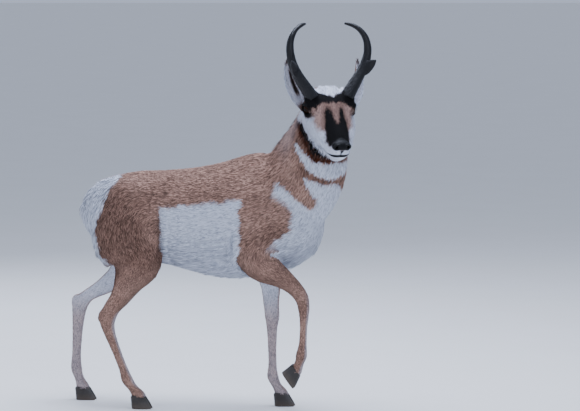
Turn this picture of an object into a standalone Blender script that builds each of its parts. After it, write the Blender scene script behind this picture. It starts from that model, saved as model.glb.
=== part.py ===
"""A life-size pronghorn buck at a walk, its right forefoot lifted and its head turned to its right.

The animal faces +X with its right side to -Y. The flesh is lofted from cross sections, fused, eased and then
parted by thin cuts. Eyes, ears, horns, tail and hooves are solids of their own. Sizes are in metres.
"""
import math
import random
from collections import namedtuple

import bmesh
import bpy
import numpy as np
from mathutils import Matrix, Vector
from mathutils.bvhtree import BVHTree

# Gap that parted or touching nodes keep
CUT = 0.0003

# The head looks this far round from straight ahead to the animal's right, and its face slopes down this far
HEAD_TURN = math.radians(62.0)
FACE_SLOPE = math.radians(45.0)
# Point midway between the eyes, and how far each eyeball's centre stands from it
EYES_MIDDLE = Vector((0.4735, -0.130, 1.054))
EYE_SIDE = 0.070
EYE_RADIUS = 0.0225
EYE_LOOK = math.radians(34.0)
LID_OPENING = (0.0200, 0.0140)
# How far round the muzzle the line of the mouth runs to each side, in degrees
MOUTH_SPREAD = 84
MOUTH_STEPS = 24

EAR_WIDTH = 0.068
EAR_THICKNESS = 0.0030

HOOF_HEIGHT = 0.0450
CLAW_LENGTH = 0.067
CLAW_WIDTH = 0.0230
CLEFT = 0.0020

# Fineness of the fused flesh
BODY_VOXEL = 0.0065
HEAD_VOXEL = 0.0030
EAR_VOXEL = 0.0013
BODY_EASING = 60
HEAD_EASING = 18
BODY_SHARE = 0.071
HEAD_SHARE = 0.022
EAR_SHARE = 0.0095

RIGHT, LEFT = -1, 1
SIDE_NAMES = {RIGHT: "right", LEFT: "left"}
UPRIGHT = Matrix.Identity(3)

# Colour as sRGB hex and roughness of each kind of surface
TAN_COAT = ("#A5846B", 0.85)
BROWN_COAT = ("#8A6A55", 0.85)
WHITE_COAT = ("#DEDBD8", 0.85)
FACE_COAT = ("#6A5142", 0.80)
EAR_COAT = ("#A99A8E", 0.85)
HORN = ("#1C1B1E", 0.45)
HOOF = ("#26211F", 0.50)
EYE = ("#120D0B", 0.08)

Ring = namedtuple("Ring", "centre side up half_width rise drop rise_pinch drop_pinch")


# Small tools

def new_object(name, mesh, home):
    made = bpy.data.objects.new(name, mesh)
    home.objects.link(made)
    return made


def smooth_rows(rows, between):
    """Rows of sizes with more rows read from a Catmull-Rom curve through them."""
    table = np.array(rows, float)
    before = np.vstack([2 * table[0] - table[1], table, 2 * table[-1] - table[-2]])
    found = []
    for i in range(len(table) - 1):
        a, b, c, d = before[i:i + 4]
        for t in np.arange(between) / between:
            found.append(0.5 * (2 * b + (c - a) * t + (2 * a - 5 * b + 4 * c - d) * t ** 2
                                + (3 * b - a - 3 * c + d) * t ** 3))
    found.append(table[-1])
    return np.array(found)


def ring_points(ring, around):
    """Points round one cross section, narrowed towards its top and bottom by the two pinches."""
    points = []
    for k in range(around):
        angle = math.tau * k / around
        across, above = math.cos(angle), math.sin(angle)
        pinch = ring.rise_pinch if above > 0 else ring.drop_pinch
        reach = ring.rise if above > 0 else ring.drop
        width = ring.half_width * across * (1 - pinch * above * above)
        points.append(ring.centre + ring.side * width + ring.up * (reach * above))
    return points


def loft_points(loops, tips):
    """A closed mesh through loops of points, its two ends drawn to tip points."""
    shape = bmesh.new()
    around = len(loops[0])
    rows = [[shape.verts.new(p) for p in loop] for loop in loops]
    for low, high in zip(rows, rows[1:]):
        for k in range(around):
            n = (k + 1) % around
            shape.faces.new((low[k], low[n], high[n], high[k]))
    for row, tip in zip((rows[0], rows[-1]), tips):
        end = shape.verts.new(tip)
        for k in range(around):
            shape.faces.new((row[k], row[(k + 1) % around], end))
    bmesh.ops.recalc_face_normals(shape, faces=shape.faces)
    return shape


def loft(rings, around):
    return loft_points([ring_points(ring, around) for ring in rings], (rings[0].centre, rings[-1].centre))


def to_mesh(shape, name="piece"):
    mesh = bpy.data.meshes.new(name)
    shape.to_mesh(mesh)
    shape.free()
    return mesh


def from_mesh(mesh):
    shape = bmesh.new()
    shape.from_mesh(mesh)
    return shape


def moved(shape, matrix):
    bmesh.ops.transform(shape, matrix=matrix, verts=shape.verts)
    return shape


def ellipsoid(centre, radii, turn=UPRIGHT, segments=24):
    shape = bmesh.new()
    bmesh.ops.create_uvsphere(shape, u_segments=segments, v_segments=segments // 2, radius=1.0)
    return moved(shape, Matrix.Translation(centre) @ turn.to_4x4() @ Matrix.Diagonal((*radii, 1.0)))


def block(centre, halves, turn=UPRIGHT):
    shape = bmesh.new()
    bmesh.ops.create_cube(shape, size=2.0)
    return moved(shape, Matrix.Translation(centre) @ turn.to_4x4() @ Matrix.Diagonal((*halves, 1.0)))


def beyond(point, normal, reach=1.0):
    """A block that holds everything past the plane through the point."""
    turn = Vector(normal).to_track_quat("Z", "Y").to_matrix()
    return block(Vector(point) + Vector(normal).normalized() * reach, (reach, reach, reach), turn)


def prism(outline, along, low, high):
    """A flat outline pushed out along X or Y, from low to high."""
    shape = bmesh.new()
    if along == "X":
        corners = [(low, a, b) for a, b in outline]
        push = Vector((high - low, 0, 0))
    else:
        corners = [(a, low, b) for a, b in outline]
        push = Vector((0, high - low, 0))
    face = shape.faces.new([shape.verts.new(c) for c in corners])
    pushed = bmesh.ops.extrude_face_region(shape, geom=[face], use_keep_orig=True)["geom"]
    bmesh.ops.translate(shape, vec=push, verts=[v for v in pushed if isinstance(v, bmesh.types.BMVert)])
    bmesh.ops.recalc_face_normals(shape, faces=shape.faces)
    return shape


def grown(shape, amount=CUT):
    """The shape with every face moved outward by the amount."""
    shape.normal_update()
    moves = [v.normal * (amount * v.calc_shell_factor()) for v in shape.verts]
    for vert, move in zip(shape.verts, moves):
        vert.co += move
    return shape


def tilt(degrees, axis="Y"):
    return Matrix.Rotation(math.radians(degrees), 3, axis)


def joined(shapes):
    """One mesh that holds all the closed shapes, still overlapping."""
    whole = bmesh.new()
    for shape in shapes:
        part = to_mesh(shape)
        whole.from_mesh(part)
        bpy.data.meshes.remove(part)
    return to_mesh(whole)


def baked(obj):
    """The object's evaluated mesh, with the object gone."""
    bpy.context.view_layer.update()
    graph = bpy.context.evaluated_depsgraph_get()
    mesh = bpy.data.meshes.new_from_object(obj.evaluated_get(graph))
    bpy.data.objects.remove(obj)
    return mesh


def boolean(mesh, operation, cutter, solver="EXACT"):
    """The mesh joined with, cut by or kept inside another closed mesh."""
    home = bpy.context.scene.collection
    body = new_object("boolean_body", mesh, home)
    tool = new_object("boolean_tool", cutter, home)
    step = body.modifiers.new("boolean", "BOOLEAN")
    step.operation = operation
    step.solver = solver
    step.object = tool
    made = baked(body)
    bpy.data.objects.remove(tool)
    return made


def parted(mesh, region):
    """The piece of the mesh inside the region, and the rest with a thin gap between."""
    grown_region = to_mesh(grown(region.copy()))
    piece = boolean(mesh.copy(), "INTERSECT", to_mesh(region))
    return largest_piece(piece), largest_piece(boolean(mesh, "DIFFERENCE", grown_region))


def cleared(mesh, neighbour):
    """The mesh cut a thin gap clear of its neighbour."""
    return largest_piece(boolean(mesh, "DIFFERENCE", to_mesh(grown(from_mesh(neighbour)))))


def largest_piece(mesh):
    """Keeps only the closed surface with the most points, as triangles."""
    shape = from_mesh(mesh)
    bmesh.ops.remove_doubles(shape, verts=shape.verts, dist=1e-6)
    unseen = set(shape.verts)
    best = set()
    while unseen:
        island = set()
        front = [next(iter(unseen))]
        while front:
            vert = front.pop()
            if vert in island:
                continue
            island.add(vert)
            front.extend(edge.other_vert(vert) for edge in vert.link_edges)
        unseen -= island
        if len(island) > len(best):
            best = island
    bmesh.ops.delete(shape, geom=[v for v in shape.verts if v not in best], context="VERTS")
    bmesh.ops.triangulate(shape, faces=shape.faces)
    return to_mesh(shape)


def fused(shapes, voxel, easing, share, hold=None):
    """The shapes as one skin: fused on a voxel grid, eased where hold allows, and thinned to a share."""
    home = bpy.context.scene.collection
    obj = new_object("fused", joined(shapes), home)
    step = obj.modifiers.new("fuse", "REMESH")
    step.mode = "VOXEL"
    step.voxel_size = voxel
    obj = new_object("eased", baked(obj), home)
    group = obj.vertex_groups.new(name="easing")
    for vert in obj.data.vertices:
        group.add([vert.index], hold(vert.co) if hold else 1.0, "REPLACE")
    step = obj.modifiers.new("ease", "SMOOTH")
    step.factor = 0.5
    step.iterations = easing
    step.vertex_group = "easing"
    step = obj.modifiers.new("thin", "DECIMATE")
    step.ratio = share
    return largest_piece(baked(obj))


# Trunk: each row gives place along the body, back line, belly line, half width, height of the widest level,
# and how far the section narrows at its top and its bottom

TRUNK = [
    (-0.398, 0.725, 0.630, 0.036, 0.68, 0.10, 0.10),
    (-0.368, 0.774, 0.575, 0.078, 0.67, 0.15, 0.10),
    (-0.300, 0.802, 0.530, 0.108, 0.67, 0.25, 0.10),
    (-0.210, 0.819, 0.505, 0.119, 0.67, 0.30, 0.15),
    (-0.120, 0.823, 0.500, 0.117, 0.66, 0.25, 0.20),
    (-0.035, 0.831, 0.480, 0.125, 0.64, 0.20, 0.20),
    (0.060, 0.848, 0.460, 0.134, 0.63, 0.25, 0.20),
    (0.140, 0.874, 0.456, 0.130, 0.63, 0.40, 0.25),
    (0.210, 0.890, 0.466, 0.121, 0.63, 0.50, 0.30),
    (0.280, 0.872, 0.482, 0.112, 0.63, 0.45, 0.35),
    (0.350, 0.815, 0.508, 0.099, 0.62, 0.30, 0.35),
    (0.402, 0.745, 0.556, 0.076, 0.63, 0.20, 0.30),
    (0.430, 0.690, 0.605, 0.036, 0.64, 0.10, 0.10),
]


def trunk_rings():
    rings = []
    for x, top, bottom, half_width, level, rise_pinch, drop_pinch in smooth_rows(TRUNK, 4):
        rings.append(Ring(Vector((x, 0, level)), Vector((0, 1, 0)), Vector((0, 0, 1)), half_width,
                          top - level, level - bottom, rise_pinch, drop_pinch))
    return rings


# Neck: each row gives the axis point, how far the nape and the throat stand from it, the half width, and the
# share of the head's turn that the section has taken up

NECK = [
    (0.255, 0.000, 0.665, 0.100, 0.120, 0.100, 0.00),
    (0.310, 0.000, 0.750, 0.125, 0.158, 0.106, 0.04),
    (0.362, -0.012, 0.845, 0.112, 0.160, 0.092, 0.15),
    (0.402, -0.030, 0.930, 0.098, 0.140, 0.080, 0.35),
    (0.426, -0.048, 1.010, 0.080, 0.100, 0.071, 0.60),
    (0.438, -0.062, 1.066, 0.052, 0.062, 0.056, 0.80),
]


def neck_rings():
    rows = smooth_rows(NECK, 5)
    rings = []
    for i, (x, y, z, nape, throat, half_width, turned) in enumerate(rows):
        before = rows[max(i - 1, 0), :3]
        after = rows[min(i + 1, len(rows) - 1), :3]
        along = Vector(after - before).normalized()
        turn = HEAD_TURN * turned
        ahead = Vector((math.cos(turn), -math.sin(turn), 0))
        side = along.cross(ahead).normalized()
        up = along.cross(side).normalized()
        if up.dot(ahead) > 0:
            up.negate()
        rings.append(Ring(Vector((x, y, z)), side, up, half_width, nape, throat, 0.15, 0.05))
    return rings


# Legs: each row gives the axis point of one side's leg as forward, outward and up, then the half depth fore and
# aft and the half width. The last rows run on into the hoof, where the leg is cut off.

HIND_TRAIL = [
    (-0.262, 0.055, 0.730, 0.085, 0.050),
    (-0.266, 0.074, 0.650, 0.110, 0.058),
    (-0.262, 0.086, 0.570, 0.106, 0.055),
    (-0.262, 0.094, 0.505, 0.080, 0.045),
    (-0.310, 0.098, 0.443, 0.048, 0.034),
    (-0.372, 0.100, 0.400, 0.031, 0.024),
    (-0.420, 0.100, 0.372, 0.024, 0.019),
    (-0.451, 0.100, 0.340, 0.029, 0.022),
    (-0.459, 0.100, 0.295, 0.0235, 0.018),
    (-0.463, 0.098, 0.235, 0.0190, 0.0145),
    (-0.466, 0.095, 0.160, 0.0170, 0.0145),
    (-0.466, 0.092, 0.112, 0.0205, 0.0190),
    (-0.456, 0.091, 0.078, 0.0165, 0.0190),
    (-0.443, 0.090, 0.046, 0.0230, 0.0235),
    (-0.438, 0.090, 0.034, 0.0235, 0.0235),
]
HIND_STEP = [
    (-0.255, 0.055, 0.730, 0.085, 0.050),
    (-0.252, 0.076, 0.650, 0.116, 0.060),
    (-0.240, 0.090, 0.575, 0.116, 0.057),
    (-0.206, 0.098, 0.510, 0.096, 0.047),
    (-0.235, 0.100, 0.440, 0.055, 0.035),
    (-0.262, 0.100, 0.390, 0.038, 0.026),
    (-0.292, 0.100, 0.350, 0.030, 0.021),
    (-0.309, 0.100, 0.312, 0.030, 0.023),
    (-0.303, 0.100, 0.268, 0.0215, 0.0185),
    (-0.280, 0.098, 0.205, 0.0165, 0.0150),
    (-0.255, 0.096, 0.140, 0.0160, 0.0150),
    (-0.242, 0.094, 0.102, 0.0205, 0.0195),
    (-0.222, 0.092, 0.072, 0.0165, 0.0190),
    (-0.202, 0.092, 0.046, 0.0230, 0.0235),
    (-0.196, 0.092, 0.034, 0.0235, 0.0235),
]
FORE_STAND = [
    (0.245, 0.062, 0.640, 0.080, 0.050),
    (0.215, 0.074, 0.560, 0.072, 0.046),
    (0.220, 0.078, 0.485, 0.050, 0.036),
    (0.233, 0.077, 0.420, 0.0370, 0.0280),
    (0.236, 0.074, 0.355, 0.0285, 0.0230),
    (0.240, 0.070, 0.312, 0.0265, 0.0245),
    (0.240, 0.067, 0.272, 0.0200, 0.0190),
    (0.241, 0.063, 0.205, 0.0160, 0.0145),
    (0.243, 0.059, 0.140, 0.0160, 0.0150),
    (0.244, 0.057, 0.104, 0.0205, 0.0195),
    (0.258, 0.056, 0.072, 0.0165, 0.0190),
    (0.274, 0.056, 0.046, 0.0225, 0.0235),
    (0.279, 0.056, 0.034, 0.0235, 0.0235),
]
FORE_LIFT = [
    (0.262, 0.064, 0.640, 0.085, 0.050),
    (0.212, 0.080, 0.560, 0.078, 0.048),
    (0.228, 0.087, 0.507, 0.060, 0.041),
    (0.290, 0.090, 0.473, 0.044, 0.032),
    (0.338, 0.090, 0.438, 0.0315, 0.0250),
    (0.369, 0.090, 0.402, 0.0265, 0.0245),
    (0.379, 0.090, 0.362, 0.0215, 0.0200),
    (0.3785, 0.090, 0.300, 0.0145, 0.0140),
    (0.375, 0.090, 0.236, 0.0150, 0.0145),
    (0.371, 0.090, 0.199, 0.0205, 0.0190),
    (0.363, 0.090, 0.170, 0.0165, 0.0180),
    (0.353, 0.090, 0.147, 0.0215, 0.0230),
    (0.344, 0.090, 0.137, 0.0215, 0.0230),
]
LEGS = {
    "leg_front_right": (RIGHT, FORE_LIFT),
    "leg_front_left": (LEFT, FORE_STAND),
    "leg_hind_right": (RIGHT, HIND_STEP),
    "leg_hind_left": (LEFT, HIND_TRAIL),
}
HOCK_ROW = 7
# How far the lifted hoof's sole is turned from level, toe down
HOOF_DROOP = math.radians(56.0)
# How far each hoof's claws stand ahead of the hair line above them
CLAW_LEAD = 0.013


def leg_rings(side, rows):
    rows = smooth_rows(rows, 3)
    rings = []
    for i, (x, out, z, deep, wide) in enumerate(rows):
        before = rows[max(i - 1, 0)]
        after = rows[min(i + 1, len(rows) - 1)]
        along = Vector((after[0] - before[0], side * (after[1] - before[1]), after[2] - before[2])).normalized()
        across = (Vector((0, 1, 0)) - along * along.y).normalized()
        fore = across.cross(along)
        rings.append(Ring(Vector((x, side * out, z)), across, fore, wide, deep, deep, 0.0, 0.0))
    return rings


def muscles():
    """Breast, shoulder, arm, haunch, hip and hock masses that lie just under the hide."""
    found = [ellipsoid(Vector((0.350, 0, 0.612)), (0.078, 0.078, 0.088))]
    for side in (RIGHT, LEFT):
        forward = 0.02 if side == RIGHT else 0.0
        found += [
            ellipsoid(Vector((0.205, side * 0.080, 0.725)), (0.058, 0.028, 0.135),
                      tilt(side * 17, "X") @ tilt(22)),
            ellipsoid(Vector((0.272 + forward, side * 0.076, 0.640)), (0.080, 0.044, 0.080), tilt(20)),
            ellipsoid(Vector((0.190 + forward, side * 0.087, 0.590)), (0.074, 0.041, 0.084), tilt(35)),
            ellipsoid(Vector((-0.225, side * 0.070, 0.680)), (0.120, 0.050, 0.115)),
            ellipsoid(Vector((-0.150, side * 0.058, 0.768)), (0.055, 0.024, 0.028)),
        ]
    for rows, side in ((HIND_STEP, RIGHT), (HIND_TRAIL, LEFT)):
        x, out, z = rows[HOCK_ROW][:3]
        found.append(ellipsoid(Vector((x - 0.020, side * out, z + 0.012)), (0.013, 0.013, 0.024), tilt(20)))
    return found


# Head, in its own frame: ahead along the muzzle, left, and up from the face, from the point between the eyes

def head_frame():
    """The matrix that carries head coordinates into the animal's frame."""
    ahead = Vector((math.cos(HEAD_TURN), -math.sin(HEAD_TURN), 0))
    forward = ahead * math.cos(FACE_SLOPE) - Vector((0, 0, math.sin(FACE_SLOPE)))
    left = Vector((0, 0, 1)).cross(ahead)
    turn = Matrix((forward, left, forward.cross(left))).transposed()
    return Matrix.Translation(EYES_MIDDLE) @ turn.to_4x4()


def level_frame():
    """Like the head's frame, but with its first axis level and its last straight up."""
    turn = Matrix.Rotation(-HEAD_TURN, 4, "Z")
    return Matrix.Translation(EYES_MIDDLE) @ turn


# Rows of the head: distance ahead of the eyes, top, bottom, half width, level of the widest part, pinches
HEAD = [
    (-0.112, -0.022, -0.062, 0.036, -0.035, 0.1, 0.1),
    (-0.092, 0.005, -0.086, 0.058, -0.030, 0.2, 0.2),
    (-0.058, 0.036, -0.100, 0.075, -0.026, 0.2, 0.3),
    (-0.020, 0.050, -0.102, 0.082, -0.030, 0.2, 0.3),
    (0.012, 0.051, -0.100, 0.087, -0.036, 0.25, 0.3),
    (0.045, 0.046, -0.095, 0.085, -0.042, 0.45, 0.3),
    (0.080, 0.038, -0.089, 0.076, -0.044, 0.50, 0.25),
    (0.120, 0.030, -0.083, 0.060, -0.041, 0.45, 0.2),
    (0.150, 0.023, -0.079, 0.047, -0.036, 0.30, 0.1),
    (0.172, 0.015, -0.074, 0.041, -0.031, 0.15, 0.1),
    (0.187, 0.002, -0.064, 0.032, -0.026, 0.1, 0.1),
    (0.194, -0.008, -0.048, 0.016, -0.026, 0.0, 0.0),
]
# Outline of the region that is cut off as the head: ahead and up in its frame, behind the jaw and the poll
HEAD_OUTLINE = [(-0.078, -0.108), (0.250, -0.112), (0.250, 0.200), (-0.208, 0.200)]


def head_rings():
    rings = []
    for ahead, top, bottom, half_width, level, rise_pinch, drop_pinch in smooth_rows(HEAD, 4):
        rings.append(Ring(Vector((ahead, 0, level)), Vector((0, 1, 0)), Vector((0, 0, 1)), half_width,
                          top - level, level - bottom, rise_pinch, drop_pinch))
    return rings


def head_masses():
    """Nose pad, chin, orbits, horn pedicles, cheeks and upper lips, in head coordinates."""
    found = [
        ellipsoid(Vector((0.176, 0, -0.002)), (0.021, 0.037, 0.023)),
        ellipsoid(Vector((0.163, 0, -0.062)), (0.024, 0.027, 0.018)),
    ]
    for side in (RIGHT, LEFT):
        found += [
            ellipsoid(Vector((0.002, side * 0.060, 0.000)), (0.042, 0.0370, 0.0340)),
            ellipsoid(Vector((-0.022, side * 0.062, 0.022)), (0.036, 0.028, 0.028)),
            ellipsoid(Vector((0.015, side * 0.050, -0.055)), (0.066, 0.035, 0.042)),
            ellipsoid(Vector((0.152, side * 0.025, -0.032)), (0.034, 0.022, 0.022)),
        ]
    return found


def eye_axis(side):
    return Vector((math.sin(EYE_LOOK), side * math.cos(EYE_LOOK), 0.10)).normalized()


def lid_cutter(side):
    """An almond bar that opens the lids over one eyeball."""
    look = eye_axis(side)
    turn = look.to_track_quat("Z", "Y").to_matrix()
    wide, high = LID_OPENING
    start = Vector((0, side * EYE_SIDE, 0))
    slant = math.radians(-12)
    loops = []
    for depth, flare in ((0.006, 0.95), (EYE_RADIUS, 1.0), (0.045, 1.25)):
        loop = []
        for k in range(16):
            angle = math.tau * k / 16
            along = wide * flare * math.cos(angle)
            above = high * flare * math.sin(angle) * (1 - 0.25 * math.cos(angle) ** 2)
            fore = Vector((1, 0, 0)) - look * look.x
            fore.normalize()
            rise = fore.cross(look) * -side
            across = fore * math.cos(slant) + rise * math.sin(slant)
            over = rise * math.cos(slant) - fore * math.sin(slant)
            loop.append(start + look * depth + across * along + over * above)
        loops.append(loop)
    centres = [sum(loop, Vector()) / len(loop) for loop in (loops[0], loops[-1])]
    return loft_points(loops, centres)


def nostril_cutter(side):
    return ellipsoid(Vector((0.188, side * 0.0215, 0.000)), (0.011, 0.0052, 0.0080),
                     tilt(side * 28, "X"), 14)


def mouth_cutter(head):
    """A thin bent tube on the muzzle's own surface that cuts the line between the lips."""
    surface = BVHTree.FromBMesh(moved(from_mesh(head), head_frame().inverted()))
    loops = []
    for i in range(MOUTH_STEPS + 1):
        angle = math.radians(MOUTH_SPREAD * (2 * i / MOUTH_STEPS - 1))
        start = Vector((0.118, 0, -0.034 - 0.022 * (1 - math.cos(angle))))
        outward = Vector((math.cos(angle), math.sin(angle) * 0.8, 0)).normalized()
        lips = surface.ray_cast(start, outward)[0]
        loops.append([lips + outward * (0.0045 * math.cos(a)) + Vector((0, 0, 0.0011 * math.sin(a)))
                      for a in (0, math.pi / 2, math.pi, 1.5 * math.pi)])
    centres = [sum(loop, Vector()) / len(loop) for loop in (loops[0], loops[-1])]
    return loft_points(loops, centres)


# Horns, in the level frame of the head: outward, ahead and up of the path, half depth fore and aft, half width

HORN_PATH = [
    (0.061, 0.004, 0.030, 0.0290, 0.0215),
    (0.078, -0.002, 0.059, 0.0290, 0.0210),
    (0.105, -0.006, 0.100, 0.0270, 0.0180),
    (0.126, -0.005, 0.139, 0.0235, 0.0160),
    (0.138, -0.003, 0.182, 0.0165, 0.0140),
    (0.1375, -0.007, 0.217, 0.0145, 0.0125),
    (0.129, -0.013, 0.2430, 0.0125, 0.0110),
    (0.113, -0.022, 0.2640, 0.0100, 0.0090),
    (0.0920, -0.033, 0.278, 0.0070, 0.0065),
    (0.067, -0.050, 0.2840, 0.0018, 0.0016),
]
PRONG_PATH = [
    (0.110, -0.004, 0.116, 0.0270, 0.0120),
    (0.127, 0.014, 0.134, 0.0240, 0.0105),
    (0.143, 0.034, 0.149, 0.0140, 0.0070),
    (0.151, 0.049, 0.160, 0.0025, 0.0020),
]


def horn_loft(side, path, around, upward_first):
    """A tapering bar along a path: its half depth stands along the first upright it is given."""
    rows = smooth_rows(path, 2)
    rings = []
    for i, (out, ahead, z, deep, wide) in enumerate(rows):
        before = rows[max(i - 1, 0)]
        after = rows[min(i + 1, len(rows) - 1)]
        step = after - before
        along = Vector((step[1], side * step[0], step[2])).normalized()
        guide = Vector((0, 0, 1)) if upward_first else Vector((1, 0, 0))
        fore = (guide - along * along.dot(guide)).normalized()
        across = along.cross(fore)
        rings.append(Ring(Vector((ahead, side * out, z)), across, fore, wide, deep, deep, 0.0, 0.0))
    return loft(rings, around)


def make_horn(side):
    stem = to_mesh(moved(horn_loft(side, HORN_PATH, 9, False), level_frame()))
    prong = to_mesh(moved(horn_loft(side, PRONG_PATH, 7, True), level_frame()))
    return largest_piece(boolean(stem, "UNION", prong))


# Ears, in the level frame of the head: outward, ahead and up of root, middle and tip, and where the cup opens to

EAR_AXIS = {
    RIGHT: ((0.058, -0.050, -0.005), (0.104, -0.062, 0.075), (0.127, -0.078, 0.158)),
    LEFT: ((0.064, -0.052, -0.005), (0.131, -0.070, 0.068), (0.132, -0.088, 0.158)),
}
EAR_OPENS = {RIGHT: (0.62, 0.77, -0.10), LEFT: (0.80, 0.58, -0.10)}


def ear_axis(side, t):
    """Point and direction of the ear's axis, a parabola from root to tip through its middle."""
    root, middle, tip = [Vector((ahead, side * out, z)) for out, ahead, z in EAR_AXIS[side]]
    bend = middle * 2 - (root + tip) / 2
    point = root * (1 - t) ** 2 + bend * (2 * t * (1 - t)) + tip * t ** 2
    along = (bend - root) * (1 - t) + (tip - bend) * t
    return point, along.normalized()


def make_ear(side):
    """A cupped leaf, thick as gristle and hair together, nearly closed to a tube at its base."""
    out, ahead, z = EAR_OPENS[side]
    shape = bmesh.new()
    rows = 10
    columns = 9
    grid = []
    for i in range(rows):
        t = i / (rows - 1)
        half_width = 0.5 * EAR_WIDTH * (0.50 + 0.50 * math.sin(math.pi * min(t, 0.999)) ** 0.8)
        half_width *= (1 - t ** 4.5) ** 0.6 * 0.985 + 0.015
        arc = math.radians(150 - 98 * t ** 0.6)
        radius = half_width / math.sin(min(arc, math.pi / 2))
        point, lean = ear_axis(side, t)
        opens = Vector((ahead, side * out, z))
        opens = (opens - lean * lean.dot(opens)).normalized()
        across = lean.cross(opens)
        row = []
        for k in range(columns):
            angle = arc * (2 * k / (columns - 1) - 1)
            offset = across * (radius * math.sin(angle)) - opens * (radius * math.cos(angle) * 0.8)
            row.append(shape.verts.new(point + offset))
        grid.append(row)
    for low, high in zip(grid, grid[1:]):
        for k in range(columns - 1):
            shape.faces.new((low[k], low[k + 1], high[k + 1], high[k]))
    obj = new_object("ear", to_mesh(moved(shape, level_frame())), bpy.context.scene.collection)
    step = obj.modifiers.new("thickness", "SOLIDIFY")
    step.thickness = EAR_THICKNESS
    step.offset = 0.0
    return fused([from_mesh(baked(obj))], EAR_VOXEL, 4, EAR_SHARE)


# Hooves

def foot_frames():
    """For each foot, the matrix of its sole: origin under the hair line, first axis towards the toe."""
    frames = {}
    for name, (side, rows) in LEGS.items():
        x, out, z = rows[-2][:3]
        place = Vector((x, side * out, 0))
        turn = Matrix.Identity(4)
        if rows is FORE_LIFT:
            turn = Matrix.Rotation(HOOF_DROOP, 4, "Y")
            place = Vector((x, side * out, z)) - turn.to_3x3() @ Vector((0, 0, HOOF_HEIGHT))
        frames[name] = Matrix.Translation(place) @ turn
    return frames


def make_claw(frame, side):
    """One of a hoof's two horny claws: flat below, pointed ahead, its inner side the flatter."""
    half_width = CLAW_WIDTH / 2
    half_length = CLAW_LENGTH / 2
    middle = CLEFT / 2 + half_width
    rows = (
        (0.000, 1.00, 0.98, CLAW_LEAD),
        (0.004, 1.02, 1.00, CLAW_LEAD),
        (0.018, 0.93, 1.02, CLAW_LEAD * 0.68),
        (0.032, 0.82, 1.02, CLAW_LEAD * 0.30),
        (HOOF_HEIGHT - CUT, 0.71, 0.98, -CLAW_LEAD * 0.08),
    )
    loops = []
    for height, length, width, lead in rows:
        loop = []
        for k in range(10):
            angle = math.tau * k / 10
            toe = math.cos(angle)
            x = lead + half_length * length * toe
            y = half_width * width * math.sin(angle) * (1 - 0.38 * toe)
            y = max(y * side, -half_width * 0.96) * side
            loop.append(Vector((x, side * middle + y, height)))
        loops.append(loop)
    centres = [sum(loop, Vector()) / len(loop) for loop in (loops[0], loops[-1])]
    return largest_piece(to_mesh(moved(loft_points(loops, centres), frame)))


# Tail: a short flat brush that hangs against the rump. Rows: back, up, half width, half thickness

TAIL = [
    (-0.360, 0.758, 0.017, 0.014),
    (-0.386, 0.740, 0.021, 0.015),
    (-0.403, 0.705, 0.027, 0.015),
    (-0.407, 0.665, 0.029, 0.014),
    (-0.404, 0.630, 0.019, 0.010),
    (-0.400, 0.610, 0.006, 0.004),
]


def make_tail():
    rows = smooth_rows(TAIL, 2)
    rings = []
    for i, (x, z, wide, thick) in enumerate(rows):
        step = rows[min(i + 1, len(rows) - 1)] - rows[max(i - 1, 0)]
        along = Vector((step[0], 0, step[1])).normalized()
        side = Vector((0, 1, 0))
        rings.append(Ring(Vector((x, 0, z)), side, side.cross(along), wide, thick, thick, 0.0, 0.0))
    return to_mesh(loft(rings, 12))


# Locks of long hair: the flared white rosette of the rump and the low dark mane on the nape

RUMP_LOCK = (0.072, 0.036, 0.0085)
RUMP_ROWS = 5
RUMP_COLUMNS = 7
RUMP_SPAN_UP = (0.585, 0.778)
RUMP_HALF_SPAN = 0.094
RUMP_SEED = 23
MANE_LOCK = (0.050, 0.022, 0.0075)
MANE_ROWS = 7
MANE_SEED = 9


def make_lock(root, along, away, size, curl):
    """One flat lock: a blade of four sides that starts under the skin, swells, bends and ends in a point."""
    length, width, thickness = size
    across = along.cross(away).normalized()
    loops = []
    for t, share in ((0.0, 0.62), (0.40, 1.0), (0.76, 0.62)):
        middle = root + along * (length * t) + away * (curl * length * t * t)
        wide = across * (0.5 * width * share)
        thick = away * (0.5 * thickness * share)
        loops.append([middle + wide, middle + thick, middle - wide, middle - thick])
    return loft_points(loops, (root, root + along * length + away * (curl * length)))


def rump_locks(rump):
    """Locks in rows down the rump, each over the next, pointing back, out and down."""
    surface = BVHTree.FromBMesh(from_mesh(rump))
    draw = random.Random(RUMP_SEED)
    locks = []
    low, high = RUMP_SPAN_UP
    for i in range(RUMP_ROWS):
        for k in range(RUMP_COLUMNS):
            up = low + (high - low) * (i + 0.5 * (k % 2) * 0.8 + draw.uniform(-0.15, 0.15)) / (RUMP_ROWS - 0.5)
            across = RUMP_HALF_SPAN * (2 * k / (RUMP_COLUMNS - 1) - 1) + draw.uniform(-0.004, 0.004)
            point, normal, _, _ = surface.ray_cast(Vector((-1.0, across, up)), Vector((1.0, 0.0, 0.0)))
            if point is None or normal.x > -0.25:
                continue
            flow = Vector((-0.35, across * 5.0, -0.95))
            flow = (flow - normal * flow.dot(normal)).normalized()
            along = (flow + normal * draw.uniform(0.36, 0.50)).normalized()
            away = (normal - along * normal.dot(along)).normalized()
            size = [s * draw.uniform(0.88, 1.12) for s in RUMP_LOCK]
            locks.append(make_lock(point - normal * 0.010, along, away, size, draw.uniform(-0.20, -0.05)))
    return locks


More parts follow.
